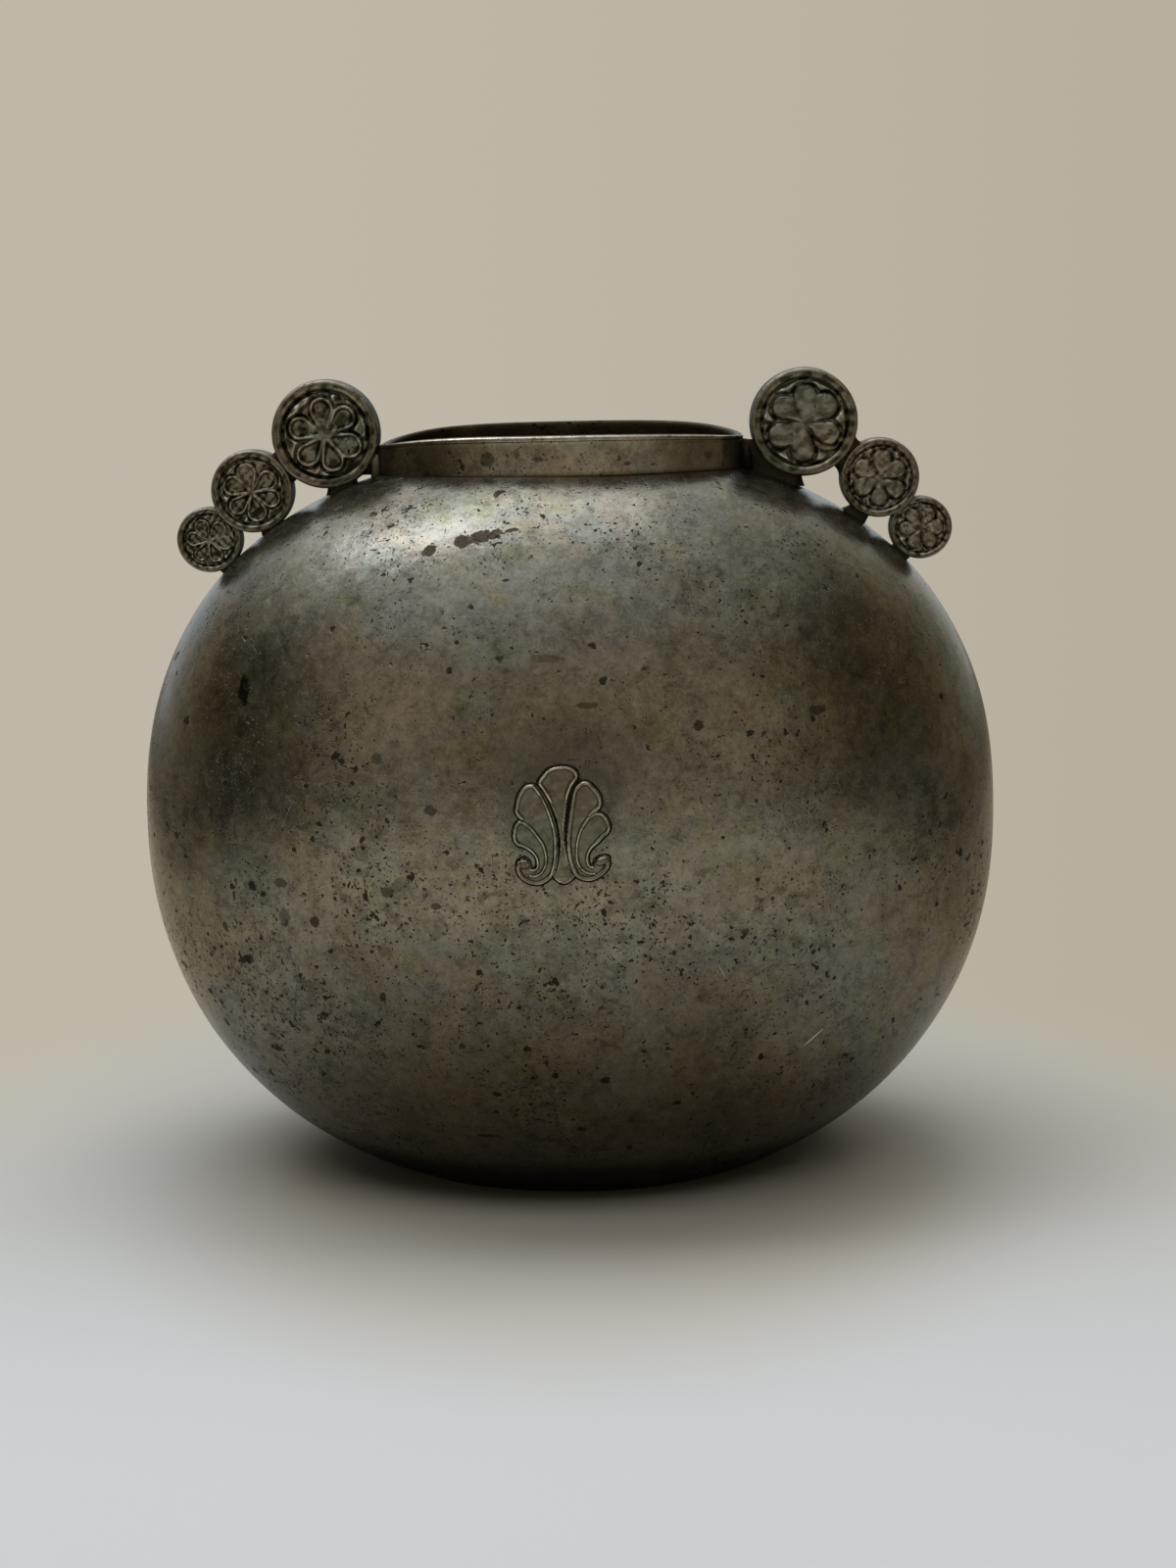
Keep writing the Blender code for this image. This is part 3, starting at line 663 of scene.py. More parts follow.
def make_handle(name, side, hollow_in_front, seed):
    """One casting: three discs with rosettes, the webs between them, their feet and the lug to the neck"""
    casting = Casting()
    for number, (label, centre, radius, thickness, rings, segments) in enumerate(DISCS[side]):
        hollow = Rosette(True, HOLLOW_PETALS[label], seed + number)
        domed = Rosette(False, DOMED_PETALS[label], seed + 10 + number)
        front, back = (hollow, domed) if hollow_in_front else (domed, hollow)
        add_disc(casting, (side * centre[0], centre[1]), radius, thickness, front, back, rings, segments)
    large, middle, small = (np.array(centre) for _, centre, *_ in DISCS[side])

    # Bars darker than the discs: dark joints and painted shade
    def bar(start, end, widths, thicknesses, soiled_and_shaded=0.85):
        ends = [(side * point[0], point[1]) for point in (start, end)]
        add_bar(casting, *ends, widths, thicknesses, soiled_and_shaded)

    def on_shoulder(x, sink=0.0010):
        return (x, shoulder_height(x) - sink)

    bar(large + (0.0073, -0.0052), middle + (-0.0052, 0.0036),
        (0.0100, 0.0072, 0.0088), (0.0054, 0.0042, 0.0046))
    bar(middle + (0.0037, -0.0040), small + (-0.0028, 0.0030),
        (0.0078, 0.0056, 0.0066), (0.0040, 0.0032, 0.0036))
    foot, width = LARGE_FEET[side]
    bar((foot + 0.0004, large[1] - 0.0070), on_shoulder(foot, 0.0016),
        (width, width - 0.0008, width + 0.0008), (0.0050, 0.0044, 0.0060))
    bar(middle + (-0.0008, -0.0036), on_shoulder(0.0602),
        (0.0060, 0.0042, 0.0066), (0.0042, 0.0036, 0.0046))
    bar(small + (-0.0014, -0.0022), on_shoulder(0.0692, 0.0020),
        (0.0056, 0.0046, 0.0038), (0.0034, 0.0032, 0.0036))
    bar((NECK_HALF_WIDTH - 0.0012, LUG_HEIGHT), (LUG_END, LUG_HEIGHT),
        (0.0070, 0.0056, 0.0068), (0.0058, 0.0040, 0.0050), 0.9)
    # Painted shade: the small piece by the neck much darker on the right
    bar((NECK_HALF_WIDTH + 0.0005, 0.1484), (NECK_HALF_WIDTH + 0.0007, 0.1545),
        (0.0030, 0.0026, 0.0012), (0.0050, 0.0066, 0.0030), 0.45 if side < 0 else 0.95)
    return casting.finish(name)


# Palmette: points in millimetres across and up from the middle of its foot
PALMETTE_FOOT = 0.0746
PALMETTE_GRID = 0.10
PALMETTE_ACROSS = (-9.9, 9.91)
PALMETTE_UP = (-0.9, 24.01)
PALMETTE_SEED = 71
PALMETTE_WAVES = 20
PALMETTE_REACH = 0.58
RIDGE_SPREAD = 1.18
PLATE_TOP = 0.36
RIDGE_TOP = 0.74
UNDER = -0.45
SKIRT_DEPTH = 0.35
PALMETTE_TOP = 23.2
PALMETTE_SHRINK = 0.972
# The drawing's middle and foot, and the millimetres that a step of it stands for
DRAWN_MIDDLE = 712
DRAWN_FOOT = 1437
DRAWN_ACROSS = 0.0179
DRAWN_UP = 0.01824


def drawn(numbers):
    """Points of a drawn line, given across and down by turns, put into millimetres"""
    return [((across - DRAWN_MIDDLE) * DRAWN_ACROSS, (DRAWN_FOOT - down) * DRAWN_UP)
            for across, down in zip(numbers[::2], numbers[1::2])]


def curve_through(points, closed=False, steps=5):
    """Smooth line through the points"""
    after_last, kind = (2, "wrap") if closed else (1, "edge")
    spots = np.pad(points, ((1, after_last), (0, 0)), kind)
    result = []
    for before, start, end, after in zip(spots, spots[1:], spots[2:], spots[3:]):
        for step in range(steps):
            share = step / steps
            result.append(0.5 * (2 * start + (end - before) * share
                                 + (2 * before - 5 * start + 4 * end - after) * share ** 2
                                 + (3 * start - before - 3 * end + after) * share ** 3))
    if not closed:
        result.append(spots[-1])
    return np.array(result)


def line_distance(across, up, line, closed=False):
    """Distance to a line, and how far along it the nearest point lies, from 0 to 1"""
    ends = np.roll(line, -1, axis=0) if closed else line[1:]
    starts = line if closed else line[:-1]
    lengths = np.hypot(*(ends - starts).T)
    travelled = np.concatenate([[0], np.cumsum(lengths)])
    best = np.full_like(across, 99.0)
    place = np.zeros_like(across)
    for start, end, length, before in zip(starts, ends, lengths, travelled):
        step = end - start
        aside, above = across - start[0], up - start[1]
        share = np.clip((aside * step[0] + above * step[1]) / max(length ** 2, 1e-12), 0, 1)
        away = np.hypot(aside - share * step[0], above - share * step[1])
        closer = away < best
        best = np.where(closer, away, best)
        place = np.where(closer, (before + share * length) / travelled[-1], place)
    return best, place


def inside_line(across, up, line):
    """True where a point lies inside a closed line"""
    inside = np.zeros(across.shape, dtype=bool)
    for start, end in zip(line, np.roll(line, -1, axis=0)):
        crosses = (start[1] > up) != (end[1] > up)
        reach = start[0] + (up - start[1]) / (end[1] - start[1] + 1e-12) * (end[0] - start[0])
        inside ^= crosses & (across < reach)
    return inside


# Lines of the palmette: steps of the drawing across and down, by turns
CENTRE_OUTLINE = (
    700, 172, 590, 198, 520, 260, 468, 345, 515, 425, 575, 530, 615, 620, 652, 720, 676, 840, 688, 950, 688,
    1050, 676, 1150, 655, 1250, 612, 1360, 640, 1400, 715, 1440, 790, 1402, 828, 1350, 775, 1230, 752, 1130,
    738, 1040, 728, 950, 728, 850, 740, 740, 757, 620, 780, 500, 825, 385, 885, 300, 880, 245, 850, 208,
    800, 182)
LEFT_OUTLINE = (
    430, 372, 350, 375, 290, 430, 252, 510, 238, 600, 235, 640, 262, 690, 292, 722, 252, 755, 213, 810, 198,
    900, 208, 960, 240, 1000, 300, 1022, 350, 1050, 400, 1090, 438, 1150, 450, 1220, 430, 1270, 395, 1285,
    362, 1235, 330, 1165, 280, 1155, 238, 1190, 222, 1260, 245, 1330, 290, 1392, 360, 1428, 430, 1437, 500,
    1422, 560, 1382, 600, 1330, 622, 1250, 638, 1150, 643, 1050, 640, 900, 620, 780, 590, 680, 560, 590,
    520, 500, 470, 425)
RIGHT_OUTLINE = (
    855, 425, 890, 380, 940, 345, 1010, 365, 1080, 440, 1122, 520, 1112, 600, 1070, 652, 1005, 700, 1090,
    676, 1152, 698, 1194, 760, 1213, 830, 1182, 890, 1122, 940, 1060, 1000, 1000, 1060, 965, 1130, 963,
    1200, 990, 1250, 1030, 1262, 1050, 1190, 1110, 1150, 1175, 1160, 1200, 1210, 1182, 1275, 1130, 1335,
    1060, 1385, 980, 1403, 900, 1388, 848, 1345, 820, 1290, 792, 1200, 775, 1100, 768, 1000, 772, 900, 790,
    780, 812, 640, 832, 520)
# Raised lines: points, width at the start and at the end in millimetres
RIDGES = (
    ((292, 722, 262, 690, 238, 645, 246, 590, 262, 510, 300, 436, 352, 388, 425, 386, 468, 440, 514, 506,
     552, 592, 582, 680, 610, 780, 630, 900, 634, 1050, 628, 1150, 612, 1250, 588, 1325, 548, 1372, 492,
     1410, 430, 1424, 362, 1412, 300, 1378, 258, 1325, 240, 1262, 250, 1205), 0.62, 0.74),
    ((245, 1002, 216, 958, 208, 900, 224, 815, 262, 765, 305, 775, 350, 802, 402, 852, 450, 920, 492, 980,
     517, 1040, 532, 1120, 530, 1200, 508, 1272, 460, 1330, 400, 1352, 355, 1338), 0.62, 0.42),
    ((245, 1000, 300, 1022, 350, 1050, 400, 1090, 438, 1150, 448, 1215, 432, 1265, 398, 1284, 360, 1276),
     0.50, 0.34),
    ((1000, 700, 1062, 650, 1102, 600, 1108, 525, 1070, 450, 1005, 380, 944, 360, 895, 392, 858, 440, 838,
     530, 820, 640, 798, 780, 782, 900, 778, 1000, 785, 1100, 802, 1200, 830, 1285, 856, 1338, 905, 1374,
     980, 1390, 1052, 1372, 1118, 1326, 1166, 1270, 1180, 1215), 0.66, 0.78),
    ((1062, 1000, 1122, 938, 1178, 886, 1198, 830, 1180, 765, 1142, 712, 1085, 692, 1030, 705, 978, 745,
     920, 830, 880, 930, 860, 1040, 858, 1150, 878, 1230, 918, 1290, 975, 1326, 1045, 1335), 0.66, 0.38),
    ((1062, 1000, 1002, 1060, 968, 1130, 966, 1200, 990, 1250, 1030, 1268), 0.52, 0.34),
)
# Cut lines: points, width at the start and at the end, depth in millimetres
SLITS = (
    ((445, 372, 500, 442, 558, 560, 598, 660, 630, 760, 655, 870, 666, 980, 661, 1080, 646, 1180, 622, 1280,
     600, 1345), 0.60, 0.30, 0.75),
    ((850, 400, 820, 480, 797, 570, 778, 680, 760, 800, 750, 900, 748, 1000, 756, 1100, 771, 1200, 796,
     1290, 832, 1358), 0.26, 0.22, 0.50),
)
# Eyes of the volutes: place in the drawing, long and short half in millimetres, lean in degrees
EYES = (((300, 1216), 1.05, 0.95, 0.0), ((1122, 1196), 1.30, 0.85, 24.0))


def make_palmette():
    """Cast fan of lobes over two volutes: a raised relief whose edge goes down into the body"""
    across, up = np.meshgrid(*(np.arange(*span, PALMETTE_GRID) for span in (PALMETTE_ACROSS, PALMETTE_UP)))
    field = np.full_like(across, UNDER)
    dirt = np.zeros_like(across)
    cover = np.full_like(across, 9.0)

    def raised(top, share):
        """The field, lifted that share of the way from the hidden level to a top"""
        return np.maximum(field, UNDER + (top - UNDER) * share)

    for outline in (LEFT_OUTLINE, RIGHT_OUTLINE, CENTRE_OUTLINE):
        line = curve_through(drawn(outline), closed=True)
        away, _ = line_distance(across, up, line, closed=True)
        inside = inside_line(across, up, line)
        signed = np.where(inside, -away, away)
        cover = np.minimum(cover, signed)
        field = raised(PLATE_TOP, smooth(0.12, -0.12, signed))
    band = np.where(up > 16.0, 0.62, 0.34)
    ridge = smooth(0.12, -0.05, np.abs(away - band / 2) - band / 2 + 0.08) * inside
    field = raised(RIDGE_TOP, ridge * (0.86 + 0.14 * smooth(14, 20, up)))
    groove = smooth(0.16, 0.0, np.abs(away - 0.86)) * inside * (up > 17.0)
    field = np.where(inside, field - 0.12 * groove, field)
    pad = smooth(0.25, -0.05, np.abs(up - 0.75) - 0.45) * smooth(0.2, -0.1, np.abs(across) - 1.55)
    field = raised(RIDGE_TOP - 0.08, pad * inside)

    def along_line(numbers, start_width, end_width):
        """Distance to a drawn line, and its half width at the nearest point"""
        away, place = line_distance(across, up, curve_through(drawn(numbers)))
        return away, (start_width + (end_width - start_width) * place) / 2

    for numbers, start_width, end_width in RIDGES:
        away, half = along_line(numbers, start_width, end_width)
        crown = np.sqrt(np.clip(1 - (away / (half * RIDGE_SPREAD)) ** 2, 0, 1))
        rise = (RIDGE_TOP - PLATE_TOP + 0.10) * crown ** 0.8 - 2.0 * (away > half * RIDGE_SPREAD)
        field = np.maximum(field, PLATE_TOP - 0.10 + rise)
        cover = np.minimum(cover, away - half * 1.1)
    for numbers, start_width, end_width, depth in SLITS:
        away, half = along_line(numbers, start_width, end_width)
        field = field - depth * smooth(0.10, -0.10, away - half) * (cover < 0.3)
        # Painted shade in the slits
        dirt = np.maximum(dirt, smooth(0.14, 0.0, away - half) * (1.0 if depth > 0.6 else 0.9))
    for spot_place, long_half, short_half, lean in EYES:
        middle = drawn(spot_place)[0]
        along, beside = turned(across - middle[0], up - middle[1], lean)
        reach = np.hypot(along / long_half, beside / short_half)
        dome = np.sqrt(np.clip(1 - reach ** 2, 0, 1))
        field = np.maximum(field, np.where(reach < 1, PLATE_TOP + 0.62 * dome, UNDER))
        cover = np.minimum(cover, (reach - 1) * short_half)
    draw = np.random.default_rng(PALMETTE_SEED)
    for _ in range(PALMETTE_WAVES):
        depth, rate = draw.uniform(0.004, 0.009), draw.uniform(-3.2, 3.2, 2)
        wave = np.sin(rate[0] * across + rate[1] * up + draw.uniform(0, FULL_TURN))
        field = field + depth * wave * (field > 0)
    field = np.maximum(field, UNDER)
    line = smooth(0.02, 0.10, cover) * smooth(0.50, 0.36, cover)
    field = raised(0.12, line)

    around = sum(np.roll(field, shift, axis) for axis in (0, 1) for shift in (3, -3)) / 4
    bend = around - field
    # Painted shade in the creases near the edge and along the inside of the edge; a dark line round the
    # relief, a dark joint with painted shadow
    dirt = np.maximum(dirt, 0.9 * smooth(0.02, 0.20, bend) * smooth(0.30, 0.05, cover))
    dirt = np.maximum(dirt, 0.9 * smooth(-0.20, 0.02, cover) * smooth(0.42, 0.10, field))
    dirt = np.maximum(dirt, 0.95 * smooth(-0.02, 0.06, cover))
    wear = smooth(-0.03, -0.20, bend) * smooth(0.3, 0.6, field)

    x = across * MM
    z = PALMETTE_FOOT + (PALMETTE_TOP - (PALMETTE_TOP - up) * PALMETTE_SHRINK) * MM
    share = np.array([level_share(height) for height in z[:, 0]])[:, None] ** 2 - (x / HALF_WIDTH) ** 2
    y = -HALF_DEPTH * np.sqrt(np.maximum(share, 0))
    normal = body_normal(x, y, z)
    place = np.stack([x, y, z], -1) + normal * swell(x, y, z)[..., None]
    top = place + normal * (field * MM)[..., None]
    below = place + normal * ((UNDER - SKIRT_DEPTH) * MM)
    keep_point = cover < PALMETTE_REACH
    keep_face = keep_point[:-1, :-1] | keep_point[1:, :-1] | keep_point[:-1, 1:] | keep_point[1:, 1:]
    keep_face[[0, -1]] = False
    keep_face[:, [0, -1]] = False
    total = across.size
    number = np.arange(total).reshape(across.shape)
    corners = np.stack([number[:-1, :-1], number[:-1, 1:], number[1:, 1:], number[1:, :-1]], -1)
    tops = corners[keep_face].tolist()
    faces = tops + [[total + spot for spot in reversed(face)] for face in tops]
    edge_owner = {}
    for face in tops:
        for start, end in zip(face, face[1:] + face[:1]):
            key = (min(start, end), max(start, end))
            edge_owner[key] = None if key in edge_owner else (start, end)
    faces += [[end, start, total + start, total + end] for start, end in filter(None, edge_owner.values())]
    points = np.concatenate([top.reshape(-1, 3), below.reshape(-1, 3)])
    used = np.unique(faces)
    renumber = np.full(len(points), -1)
    renumber[used] = np.arange(len(used))
    dirt, wear = (np.tile(level.reshape(-1), 2)[used] for level in (dirt, wear))
    return add_mesh("palmette_relief", points[used], renumber[np.array(faces)].tolist(), dirt=dirt, wear=wear)


# Pewter
def scaled(colour, share):
    return tuple(part * share for part in colour)


def multiplied(colour, tint):
    return tuple(part * share for part, share in zip(colour, tint))


# Clouds of colour: size, roughness, shift, where they begin and are full, strength, tint
TINTS = (
    (0.017, 0.55, (7.7, 1.1, 0.2), 0.44, 0.60, 0.60, (1.06, 0.95, 0.86)),
    (0.013, 0.55, (1.7, 4.4, 6.2), 0.50, 0.64, 0.60, (0.86, 0.96, 0.99)),
    (0.010, 0.60, (5.5, 9.3, 2.8), 0.56, 0.68, 0.50, (0.90, 0.92, 0.62)),
)
# Fine scratches: turn in degrees and shift. The first and third are dark, the others light
HAIRS = (((0, 28, 10), (1, 2, 3)), ((0, -47, 5), (4, 1, 7)), ((0, 80, -8), (2, 9, 5)), ((0, 8, 4), (6, 3, 1)))
# Pits: size, detail, where they begin, shift
PIT_KINDS = (
    (0.0034, 3.0, 0.690, (4.1, 7.3, 1.9)), (0.0018, 3.0, 0.680, (9.2, 0.7, 3.8)),
    (0.0010, 2.0, 0.680, (2.6, 5.9, 8.4)), (0.0006, 1.0, 0.700, (6.6, 1.3, 4.7)),
)
PIT_COLOUR = (0.020, 0.015, 0.009)
WORN_COLOUR = (0.060, 0.044, 0.029)
PIT_SHIFT = (0.37, 0.61, 0.23)
SCRATCH_COLOUR = (0.62, 0.60, 0.54)
# Tint and colour of dark soiling and painted shade
GRIME_AND_SHADE_TINT = (1.0, 0.86, 0.58)
GRIME_AND_SHADE_COLOUR = (0.006, 0.005, 0.0025)
# Shares of the clouds, patches, mottling and grain in the tone, and how far the tone reaches
TONE_SHARES = (0.30, 0.36, 0.62, 0.34)
TONE_REACH = 0.23
# Depths of the surface in metres
PIT_DEPTH = 0.00009
DENT_DEPTH = 0.00010
MOTTLE_DEPTH = 0.000035
GRAIN_DEPTH = 0.000008
# Worn place on the shoulder: centre, reach, raggedness, lean in degrees
WORN_SPOTS = (
    ((-0.0154, 0.1391), (0.0048, 0.0010), 2.2, 13),
    ((-0.0186, 0.1385), (0.0017, 0.0012), 1.6, 0),
    ((-0.0250, 0.1368), (0.0016, 0.0009), 1.8, 20),
    ((-0.0090, 0.1404), (0.0014, 0.0004), 1.8, 8),
)
# Painted shade round the palmette, as dark halos: centre, reach, raggedness, inner edge, strength, share of
# the dark colour
SHADE_HALOS = (
    ((0.001, PALMETTE_FOOT + 0.0235), (0.0210, 0.0140), 0.5, 0.30, 0.55, 0.8),
    ((0.0, PALMETTE_FOOT + 0.0115), (0.0130, 0.0150), 0.6, 0.60, 0.32, 0.7),
)
# Marks on the front of the body: centre and reach across and up, colour, strength
PIT = (0.022, 0.017, 0.010)
BODY_MARKS = (
    ((-0.0624, 0.1102), (0.0012, 0.0030), (0.016, 0.013, 0.008), 0.90),
    ((-0.0632, 0.1030), (0.0014, 0.0022), (0.040, 0.038, 0.016), 0.50),
    ((0.0261, 0.1043), (0.0010, 0.0011), (0.030, 0.026, 0.018), 0.85),
    ((-0.0353, 0.0987), (0.0011, 0.0012), (0.060, 0.054, 0.042), 0.75),
    ((-0.0250, 0.0892), (0.0013, 0.0011), (0.045, 0.040, 0.030), 0.80),
    ((-0.0019, 0.1174), (0.0026, 0.0008), (0.065, 0.060, 0.026), 0.60),
    ((0.0053, 0.1087), (0.0022, 0.0006), (0.045, 0.038, 0.020), 0.70),
    ((0.0490, 0.1055), (0.0018, 0.0010), (0.030, 0.026, 0.018), 0.70),
    ((-0.0554, 0.0663), (0.0012, 0.0019), (0.080, 0.070, 0.056), 0.80),
    ((-0.0558, 0.0733), (0.0014, 0.0010), (0.060, 0.048, 0.034), 0.80),
    ((-0.0341, 0.0731), (0.0014, 0.0011), (0.058, 0.045, 0.030), 0.90),
    ((-0.0489, 0.0660), (0.0010, 0.0012), PIT, 0.85),
    ((-0.0637, 0.0561), (0.0009, 0.0011), PIT, 0.80),
    ((-0.0687, 0.0624), (0.0008, 0.0011), PIT, 0.80),
    ((-0.0246, 0.0706), (0.0010, 0.0007), PIT, 0.75),
    ((-0.0360, 0.0514), (0.0008, 0.0010), PIT, 0.85),
    ((-0.0079, 0.0411), (0.0010, 0.0006), PIT, 0.85),
    ((-0.0170, 0.0195), (0.0024, 0.0005), PIT, 0.85),
)
NECK_MARKS = (
    ((0.0275, 0.1530), (0.0058, 0.0046), (0.250, 0.175, 0.105), 0.45),
    ((-0.0245, 0.1530), (0.0050, 0.0044), (0.110, 0.084, 0.056), 0.45),
    ((-0.0141, 0.1530), (0.0015, 0.0015), (0.045, 0.036, 0.024), 0.70),
    ((-0.0082, 0.1541), (0.0008, 0.0010), (0.045, 0.036, 0.024), 0.55),
    ((-0.0040, 0.1530), (0.0014, 0.0005), (0.040, 0.032, 0.020), 0.65),
    ((0.0137, 0.1518), (0.0009, 0.0004), (0.030, 0.020, 0.010), 0.75),
    ((0.0300, 0.1528), (0.0009, 0.0009), (0.060, 0.044, 0.028), 0.55),
)
# Scratches: centre, length, width, lean in degrees, strength
BODY_SCRATCHES = (
    ((0.0485, 0.0389), 0.0053, 0.00034, 40, 0.95),
    ((-0.0536, 0.0873), 0.0068, 0.00022, 63, 0.35),
    ((0.0300, 0.0560), 0.0030, 0.00020, 118, 0.45),
)


def spot(shader, centre, reach, ragged, lean=0.0, inner=0.90):
    """1 on a ragged spot of the front. The centre and reach are across and up, in metres"""
    if shader.spot_fields is None:
        x, y, z = shader.parts()
        edge = shader.noise(0.0013, 4.0, 0.65, shift=(2.3, 3.9, 0.7)) - 0.5
        shader.spot_fields = x, z, edge, shader.math("LESS_THAN", y, 0.0)
    x, z, edge, front = shader.spot_fields
    along, beside = turned(x - centre[0], z - centre[1], lean)
    away = shader.distance(along / reach[0], beside / reach[1])
    return (edge * ragged + away).shape(1.05, inner) * front


def pewter(name, dark, light, roughness, pitted=1.0, mottled=1.0, relief=False, body=False, marks=(),
           polish=1.7):
    """Aged pewter: clouds, mottling, scratches and pits, with dark soiling, painted shade and wear where the
    mesh says
    """
    shader = Shader(name)
    clouds = shader.noise(0.024, 3.0, 0.55, shift=(3.1, 0.4, 1.7), warp=0.5)
    patches = shader.noise(0.0075, 4.0, 0.62, shift=(0.3, 2.2, 5.1), warp=0.7)
    mottle = shader.noise(0.0024, 5.0, 0.78, shift=(0.8, 0.1, 0.6), warp=0.4)
    grain = shader.noise(0.00055, 3.0, 0.7)
    shares = [share * extra for share, extra in zip(TONE_SHARES, (1, 1, mottled, mottled))]
    tone = clouds * shares[0] + patches * shares[1] + mottle * shares[2] + grain * shares[3]
    middle = sum(shares) / 2
    colour = shader.mix(tone.shape(middle - TONE_REACH, middle + TONE_REACH, kind="LINEAR"), dark, light)
    for size, rough, shift, low, high, share, tint in TINTS:
        cloud = shader.noise(size, 3.0, rough, shift=shift, warp=0.6).shape(low, high)
        colour = shader.mix(cloud * share, colour, tint, "MULTIPLY")

    hairs = []
    for turn, shift in HAIRS:
        hair = shader.noise(0.00018, 1.0, 0.5, (110, 30, 1), turn, shift).shape(0.72, 0.79)
        hairs.append(hair * shader.noise(0.015, 1.0, 0.5, shift=(shift[2], *shift[:2])).shape(0.48, 0.60))
    vein = abs(shader.noise(0.0062, 3.0, 0.55, shift=(2.2, 6.6, 9.1), warp=0.8) - 0.5).shape(0.0075, 0.0)
    vein = vein * shader.noise(0.018, 2.0, 0.5, shift=(6.1, 2.9, 7.4)).shape(0.54, 0.66)

    where = shader.noise(0.020, 2.0, 0.5, shift=(2.4, 8.1, 3.3))
    if body:
        x, _, z = shader.parts()
        lower_left = ((x + 0.056) / 0.040) ** 2 + ((z - 0.062) / 0.034) ** 2
        where = where + lower_left.shape(1.8, 0.0, 0.0, 0.10)
        where = where + z.shape(0.105, 0.060, -0.03, 0.06) + z.shape(0.048, 0.030, 0.0, -0.06)
    crowded = where.shape(0.38, 0.68, -0.030, 0.050, "LINEAR")
    smudge = shader.noise(0.0034, 4.0, 0.62, shift=(8.8, 3.7, 0.9), warp=0.5) + crowded * 1.3
    colour = shader.mix(smudge.shape(0.54, 0.70) * 0.46, colour, scaled(dark, 0.60))
    pits = largest([(shader.noise(size, detail, 0.55, shift=shift) + crowded).shape(low, low + 0.04)
                    for size, detail, low, shift in PIT_KINDS])
    round_pits, chance = shader.pits(0.0046, 0.0013, 0.5)
    pits = pits.most(round_pits * (where * 0.7 + chance).shape(0.84, 0.98)) * pitted
    for amount, stain_and_shade in (
        (hairs[0].most(hairs[2]) * (0.60 * pitted), scaled(dark, 0.35)),
        (vein * (0.65 * pitted), scaled(dark, 0.25)),
        (hairs[1].most(hairs[3]) * (0.40 * pitted), scaled(light, 1.4)),
        (pits * 0.88, PIT_COLOUR),
    ):
        colour = shader.mix(amount, colour, stain_and_shade)

    rough = patches * 0.20 + (roughness - 0.17) + mottle * 0.14 + pits * 0.30
    if body:
        worn = largest([spot(shader, *item) for item in WORN_SPOTS]) * grain.shape(0.30, 0.46, 0.45, 1.0)
        colour = shader.mix(worn * 0.95, colour, WORN_COLOUR)
        rough = rough + worn * 0.35
        # Painted shade round the palmette
        for centre, reach, ragged, inner, share, darker in SHADE_HALOS:
            shade_halo = spot(shader, centre, reach, ragged, inner=inner)
            colour = shader.mix(shade_halo * share, colour, scaled(dark, darker))
        for centre, length, width, lean, share in BODY_SCRATCHES:
            scratch = spot(shader, centre, (length / 2, width / 2), 0.25, lean)
            colour = shader.mix(scratch * share, colour, SCRATCH_COLOUR)
    for centre, reach, tint, share in marks:
        colour = shader.mix(spot(shader, centre, reach, 1.5, inner=0.80) * share, colour, tint)
    if relief or body:
        # Dark soiling and painted shade, where the mesh's level says
        grime_and_shade = shader.level("dirt") * patches.shape(0.2, 0.5, 0.86, 1.0)
        colour = shader.mix(grime_and_shade, colour, GRIME_AND_SHADE_TINT, "MULTIPLY")
        colour = shader.mix(grime_and_shade, colour, GRIME_AND_SHADE_COLOUR)
        rough = rough + grime_and_shade * 0.25
    if relief:
        worn = shader.level("wear") * mottle.shape(0.35, 0.58, 0.25, 1.0)
        colour = shader.mix(worn * 0.75, colour, scaled(light, polish))
        rough = rough + worn * -0.06
    shader.put(colour, shader.principled.inputs["Base Color"])
    shader.put(rough.shape(0.0, 1.0, kind="LINEAR"), shader.principled.inputs["Roughness"])
    shader.principled.inputs["Metallic"].default_value = 1.0
    normal = shader.bump(pits * -1.0, PIT_DEPTH)
    normal = shader.bump(shader.noise(0.0045, 3.0, 0.55, shift=(1.3, 0.2, 0.9)), DENT_DEPTH, normal)
    normal = shader.bump(mottle, MOTTLE_DEPTH, normal)
    shader.put(shader.bump(grain, GRAIN_DEPTH, normal), shader.principled.inputs["Normal"])
    return shader.material


body = make_body()
neck = make_neck()
left_handle = make_handle("handle_casting_left", -1, True, LEFT_SEED)
right_handle = make_handle("handle_casting_right", 1, False, RIGHT_SEED)
palmette = make_palmette()

body_pewter = pewter("pewter_body", (0.074, 0.063, 0.046), (0.302, 0.275, 0.222), 0.26, body=True,
                     marks=BODY_MARKS)
neck_pewter = pewter("pewter_neck", (0.115, 0.094, 0.067), (0.430, 0.382, 0.300), 0.27, 0.9, relief=True,
                     marks=NECK_MARKS)
cast_pewter = pewter("pewter_cast", (0.080, 0.069, 0.051), (0.320, 0.292, 0.234), 0.37, 0.7, relief=True)
palmette_pewter = pewter("pewter_palmette", (0.075, 0.065, 0.047), (0.205, 0.186, 0.147), 0.31, 0.4, 0.9,
                         relief=True, polish=3.2)
base_pewter = pewter("pewter_base", (0.030, 0.025, 0.018), (0.080, 0.070, 0.054), 0.46)

for piece, material, slot, nodes in (
    (body, body_pewter, "body_front", ("body_front", "body_back")),
    (neck, neck_pewter, "neck_collar", ("neck_collar",)),
    (left_handle, cast_pewter, "handle_left", ("handle_left",)),
    (right_handle, cast_pewter, "handle_right", ("handle_right",)),
    (palmette, palmette_pewter, "palmette", ("palmette",)),
):
    piece.data.materials.append(material)
    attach(piece, "root")
    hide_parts(*nodes)

base_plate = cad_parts["base_plate"]
for slot in base_plate.material_slots:
    slot.material = base_pewter


